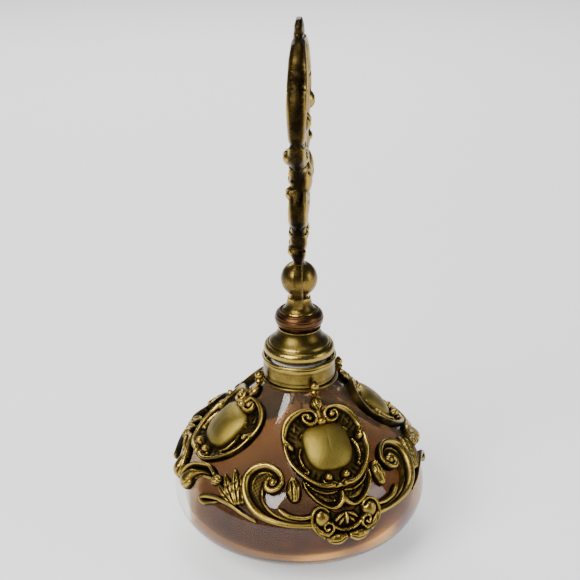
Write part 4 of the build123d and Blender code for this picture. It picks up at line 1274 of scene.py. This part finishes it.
def finial_shape(bumps):
    def shape(relief):
        folded(relief)

        def ridge(path, width, height):
            relief.ridge([(u, CROWN - rise) for u, rise in path], width, height, base=1.2)

        def groove(path, width, depth):
            relief.groove([(u, CROWN - rise) for u, rise in path], width, depth)

        rise = CROWN - relief.p[:, 1]
        relief.h = 1.7 + 0.12 * np.sin(relief.p[:, 0] * 2.6) * np.sin(rise * 1.9)
        ridge([(2.4, 67.0), (6.3, 64.6), (9.0, 60.4), (11.6, 56), (13.7, 50.8), (14.0, 45.2),
               (12.4, 41.2), (9.6, 40.4), (8.2, 42.6), (9.2, 45.0), (11.0, 44.6)],
              [1.5, 2.2, 2.3, 2.2, 2.1, 1.6, 1.3], [2.3, 2.8, 2.8, 2.8, 2.7, 2.6, 2.8])
        ridge([(13.6, 41.8), (13.8, 38.4), (12.0, 35.2), (9.0, 33.2), (6.6, 30.8)],
              [1.6, 1.9, 1.9, 1.7], [2.4, 2.8, 2.8, 2.7])
        ridge([(6.5, 30.6), (6.4, 27.0), (7.4, 23.0), (8.5, 18.8), (7.3, 15.2), (4.9, 14.2),
               (3.8, 16.2), (5.0, 18.2), (6.3, 17.4)], [1.7, 2.0, 2.0, 1.9, 1.4, 1.1],
              [2.7, 2.8, 2.8, 2.7, 2.5, 2.7])
        ridge([(6.4, 12.4), (4.6, 9.6), (3.8, 6.6), (4.3, 3.6)], [1.0, 1.4, 1.5, 1.7],
              [2.2, 2.6, 2.6, 2.4])
        for path, width in (
                ([(0.5, 36), (2.6, 46), (2.3, 57)], [0.8, 1.7, 0.5]),
                ([(0.8, 34), (5.4, 43), (7.0, 53)], [0.8, 1.8, 0.5]),
                ([(1.0, 32), (5.0, 35.5), (9.4, 37.5)], [0.8, 1.5, 0.5]),
                ([(0.6, 26), (3.0, 22.6), (4.2, 19.6)], [0.9, 1.4, 0.5]),
                ([(0.6, 12), (2.4, 9.6), (2.6, 5.6)], [0.7, 1.1, 0.4])):
            ridge(path, width, [2.6, 3.1, 2.3])
            groove(path, 0.20, 0.5)
        ridge([(0, 64), (0, 50), (0, 30), (0, 8)], [0.5, 0.9, 1.1, 0.6], [2.4, 2.9, 3.0, 2.5])
        relief.dome((0, CROWN - 69.2), (3.6, 3.0), 2.1, base=1.0)
        groove([(1.0, 66.9), (3.6, 67.2), (6.0, 66.6)], 0.5, 0.8)
        groove([(11.6, 60.6), (12.6, 57.6), (14.6, 55.2)], 0.4, 0.5)
        groove([(9.0, 40.0), (12.6, 39.6), (15.8, 40.6)], 0.6, 0.7)
        groove([(7.0, 33.0), (9.4, 31.6), (12.0, 31.6)], 0.5, 0.9)
        groove([(5.2, 25.6), (7.0, 25.0), (9.0, 25.6)], 0.6, 0.6)
        groove([(6.2, 13.4), (8.0, 12.6)], 0.5, 0.9)
        groove([(3.0, 10.8), (5.0, 10.6), (6.4, 9.8)], 0.35, 0.9)
        groove([(3.0, 5.2), (4.6, 5.4), (6.2, 5.2)], 0.35, 0.9)
        relief.round_edge(2.1, 1.0)
        thin = np.interp(rise, [0, 5, 12, 18, 26, 31, 36, 41, 50, 58, 66, 72.3],
                         [0.84, 0.95, 1.04, 1.0, 0.86, 0.98, 0.92, 0.88, 1.04, 1.02, 0.82, 0.58])
        relief.h = np.maximum(relief.h * thin, 0.5)
        for (u, at), radius, height in bumps:
            relief.dome((u, CROWN - at), radius, height, base=0.9, power=0.6)
            groove([(u - 2.0, at - 2.2), (u, at), (u + 2.0, at + 2.2)], 0.35, 0.7)
        rim = np.clip(relief.edge / 0.8, 0, 1)
        relief.h = np.minimum(relief.h, 1.0 + 2.2 * rim + 1.2 * np.clip(relief.edge / 1.6, 0, 1))
    return shape


bumps = {"right": [((11.2, 46.0), (3.2, 3.4), 4.15), ((10.6, 35.4), (3.4, 2.2), 3.5),
                   ((4.4, 27.6), (3.8, 6.6), 4.15), ((12.8, 55.0), (1.0, 1.0), 3.3)],
         "left": [((11.2, 35.7), (3.6, 2.9), 4.15), ((6.2, 23.2), (3.0, 2.6), 3.8),
                  ((2.8, 4.6), (3.4, 2.2), 3.4), ((9.4, 29.6), (2.0, 1.5), 3.3),
                  ((12.8, 55.0), (1.0, 1.0), 3.3)]}
for name, side in (("left", -1), ("right", 1)):
    half = casting(both_sides([(u, CROWN - rise) for u, rise in finial_edge]),
                   finial_shape(bumps[name]), step=0.36, place=upright_plane(side), back=0.02)
    places, faces, wear = half
    # The wear level rises by up to 0.12 from the foot to the crown, so the finial is lighter towards
    # the top.
    lift = 0.12 * np.clip((places[:, 2] / MM - FINIAL_Z) / CROWN, 0, 1)
    wear_lighter_upward = np.clip(0.40 + lift + (wear - 0.45) * 0.75, 0.06, 1)
    node = "finial_half_" + name
    cast_on_finial(node + "_cast", node, (places, faces, wear_lighter_upward))
print("finial half triangles:", len(faces))

# %% Cast the tang and the two half balls
TANG_HALF = 1.4
BALL_FLAT = TANG_HALF + 0.04


def shape_tang(relief):
    relief.h[:] = TANG_HALF
    relief.groove([(-1.6, 13.6), (0, 11.0), (1.6, 8.4)], 0.35, 0.3)
    relief.groove([(1.6, 13.6), (0, 11.0), (-1.6, 8.4)], 0.35, 0.3)
    relief.round_edge(0.6, 0.7)


def shape_ball(relief):
    across = np.hypot(relief.p[:, 0], relief.p[:, 1])
    relief.h = np.sqrt(np.clip(BALL_R ** 2 - across ** 2, BALL_FLAT ** 2, None))


def tang_place(points, h):
    flat = np.stack([np.asarray(h, float), points[:, 0], FOOT_Z - points[:, 1]], 1)
    return turned_to(flat * MM, FINIAL_TURN)


def ball_place(side):
    def place(points, h):
        flat = np.stack([side * np.asarray(h, float), side * points[:, 0], BALL_Z - points[:, 1]],
                        1)
        return turned_to(flat * MM, FINIAL_TURN)
    return place


tang_side = [tuple(p) for p in curve([(4.3, -5.4), (5.6, -8.0), (6.5, BALL_Z * -1 + FOOT_Z),
                                      (5.9, -14.0), (4.2, FOOT_Z - FINIAL_Z)], per_span=6)]
tang_half = [(4.3, -2.2)] + tang_side + [(4.2, FOOT_Z - FINIAL_Z - 5.0)]
tang_edge = tang_half + [(-u, v) for u, v in reversed(tang_half)]
tang = casting(tang_edge, shape_tang, step=0.35, place=tang_place, back=-TANG_HALF)
tang = (tang[0], tang[1], tang[2] * 0 + 0.46)
cast_on_finial("finial_tang_plate", "finial_tang", tang)
disc = ring_points(64) * math.sqrt(BALL_R ** 2 - BALL_FLAT ** 2)
halves = [casting(disc, shape_ball, step=0.4, place=ball_place(side),
                  back=TANG_HALF) for side in (-1, 1)]
ball = joined([(p, f, w * 0 + 0.50) for p, f, w in halves])
cast_on_finial("finial_ball_halves", "finial_ball", ball)
print("tang and ball triangles:", len(tang[1]), len(ball[1]))

# %% [markdown]
# ## Stage, light and camera
# A pale floor and soft lights show the metal without hard shadows. Brass needs something dark to
# reflect as well as something bright, so the world is dim above and the lights are large cards.

# %% Lay the floor and set the lights
floor_mesh = bpy.data.meshes.new("floor")
FLOOR_HALF, FLOOR_Z = 4.0, -0.0002
signs = ((-1, -1), (1, -1), (1, 1), (-1, 1))
floor_corners = [(x * FLOOR_HALF, y * FLOOR_HALF, FLOOR_Z) for x, y in signs]
floor_mesh.from_pydata(floor_corners, [], [(0, 1, 2, 3)])
floor = add_object("floor", floor_mesh)
paper, nodes, links, shader = tree_of("paper")
shader.inputs["Base Color"].default_value = (0.92, 0.92, 0.92, 1)
shader.inputs["Roughness"].default_value = 0.9
shader.inputs["Emission Color"].default_value = (1, 1, 1, 1)
shader.inputs["Emission Strength"].default_value = 0.55
floor_mesh.materials.append(paper)

world = bpy.data.worlds.new("room")
bpy.context.scene.world = world
world.use_nodes = True
world.node_tree.nodes["Background"].inputs["Color"].default_value = (0.80, 0.86, 0.95, 1)
world.node_tree.nodes["Background"].inputs["Strength"].default_value = 0.14


def card(name, place, aim, size, power, colour=(1, 1, 1)):
    """A soft rectangular light that points at a place."""
    data = bpy.data.lights.new(name, "AREA")
    data.shape = "RECTANGLE"
    data.size, data.size_y = size
    data.energy = power
    data.color = colour
    lamp = add_object(name, data)
    lamp.location = place
    lamp.rotation_euler = (Vector(aim) - Vector(place)).to_track_quat("-Z", "Y").to_euler()
    return lamp


centre = (0, 0, 0.05)
card("window", (-0.55, -0.35, 0.62), centre, (0.42, 0.42), 9.5, (1.0, 0.98, 0.95))
card("fill", (0.60, -0.45, 0.30), centre, (0.30, 0.40), 1.6, (0.92, 0.96, 1.0))
card("back", (0.15, 0.75, 0.55), centre, (0.80, 0.35), 6.0)
card("top", (0.0, -0.05, 0.95), centre, (0.25, 0.25), 1.8)

# %% Place the camera
CAMERA_PLACE = (-0.1319, -0.3437, 0.2440)
CAMERA_PITCH, CAMERA_HEADING = -23.58, -21.0
CAMERA_LENS, CAMERA_SHIFT = 83.49, -0.016
camera = add_object("camera", bpy.data.cameras.new("camera"))
camera.location = CAMERA_PLACE
camera.rotation_euler = (math.radians(90 + CAMERA_PITCH), 0, math.radians(CAMERA_HEADING))
camera.data.lens = CAMERA_LENS
camera.data.sensor_width = 36.0
camera.data.shift_x = CAMERA_SHIFT
camera.data.clip_start = 0.01
camera.data.clip_end = 20
bpy.context.scene.camera = camera
print("camera", round(camera.location.length, 3), "m from the foot")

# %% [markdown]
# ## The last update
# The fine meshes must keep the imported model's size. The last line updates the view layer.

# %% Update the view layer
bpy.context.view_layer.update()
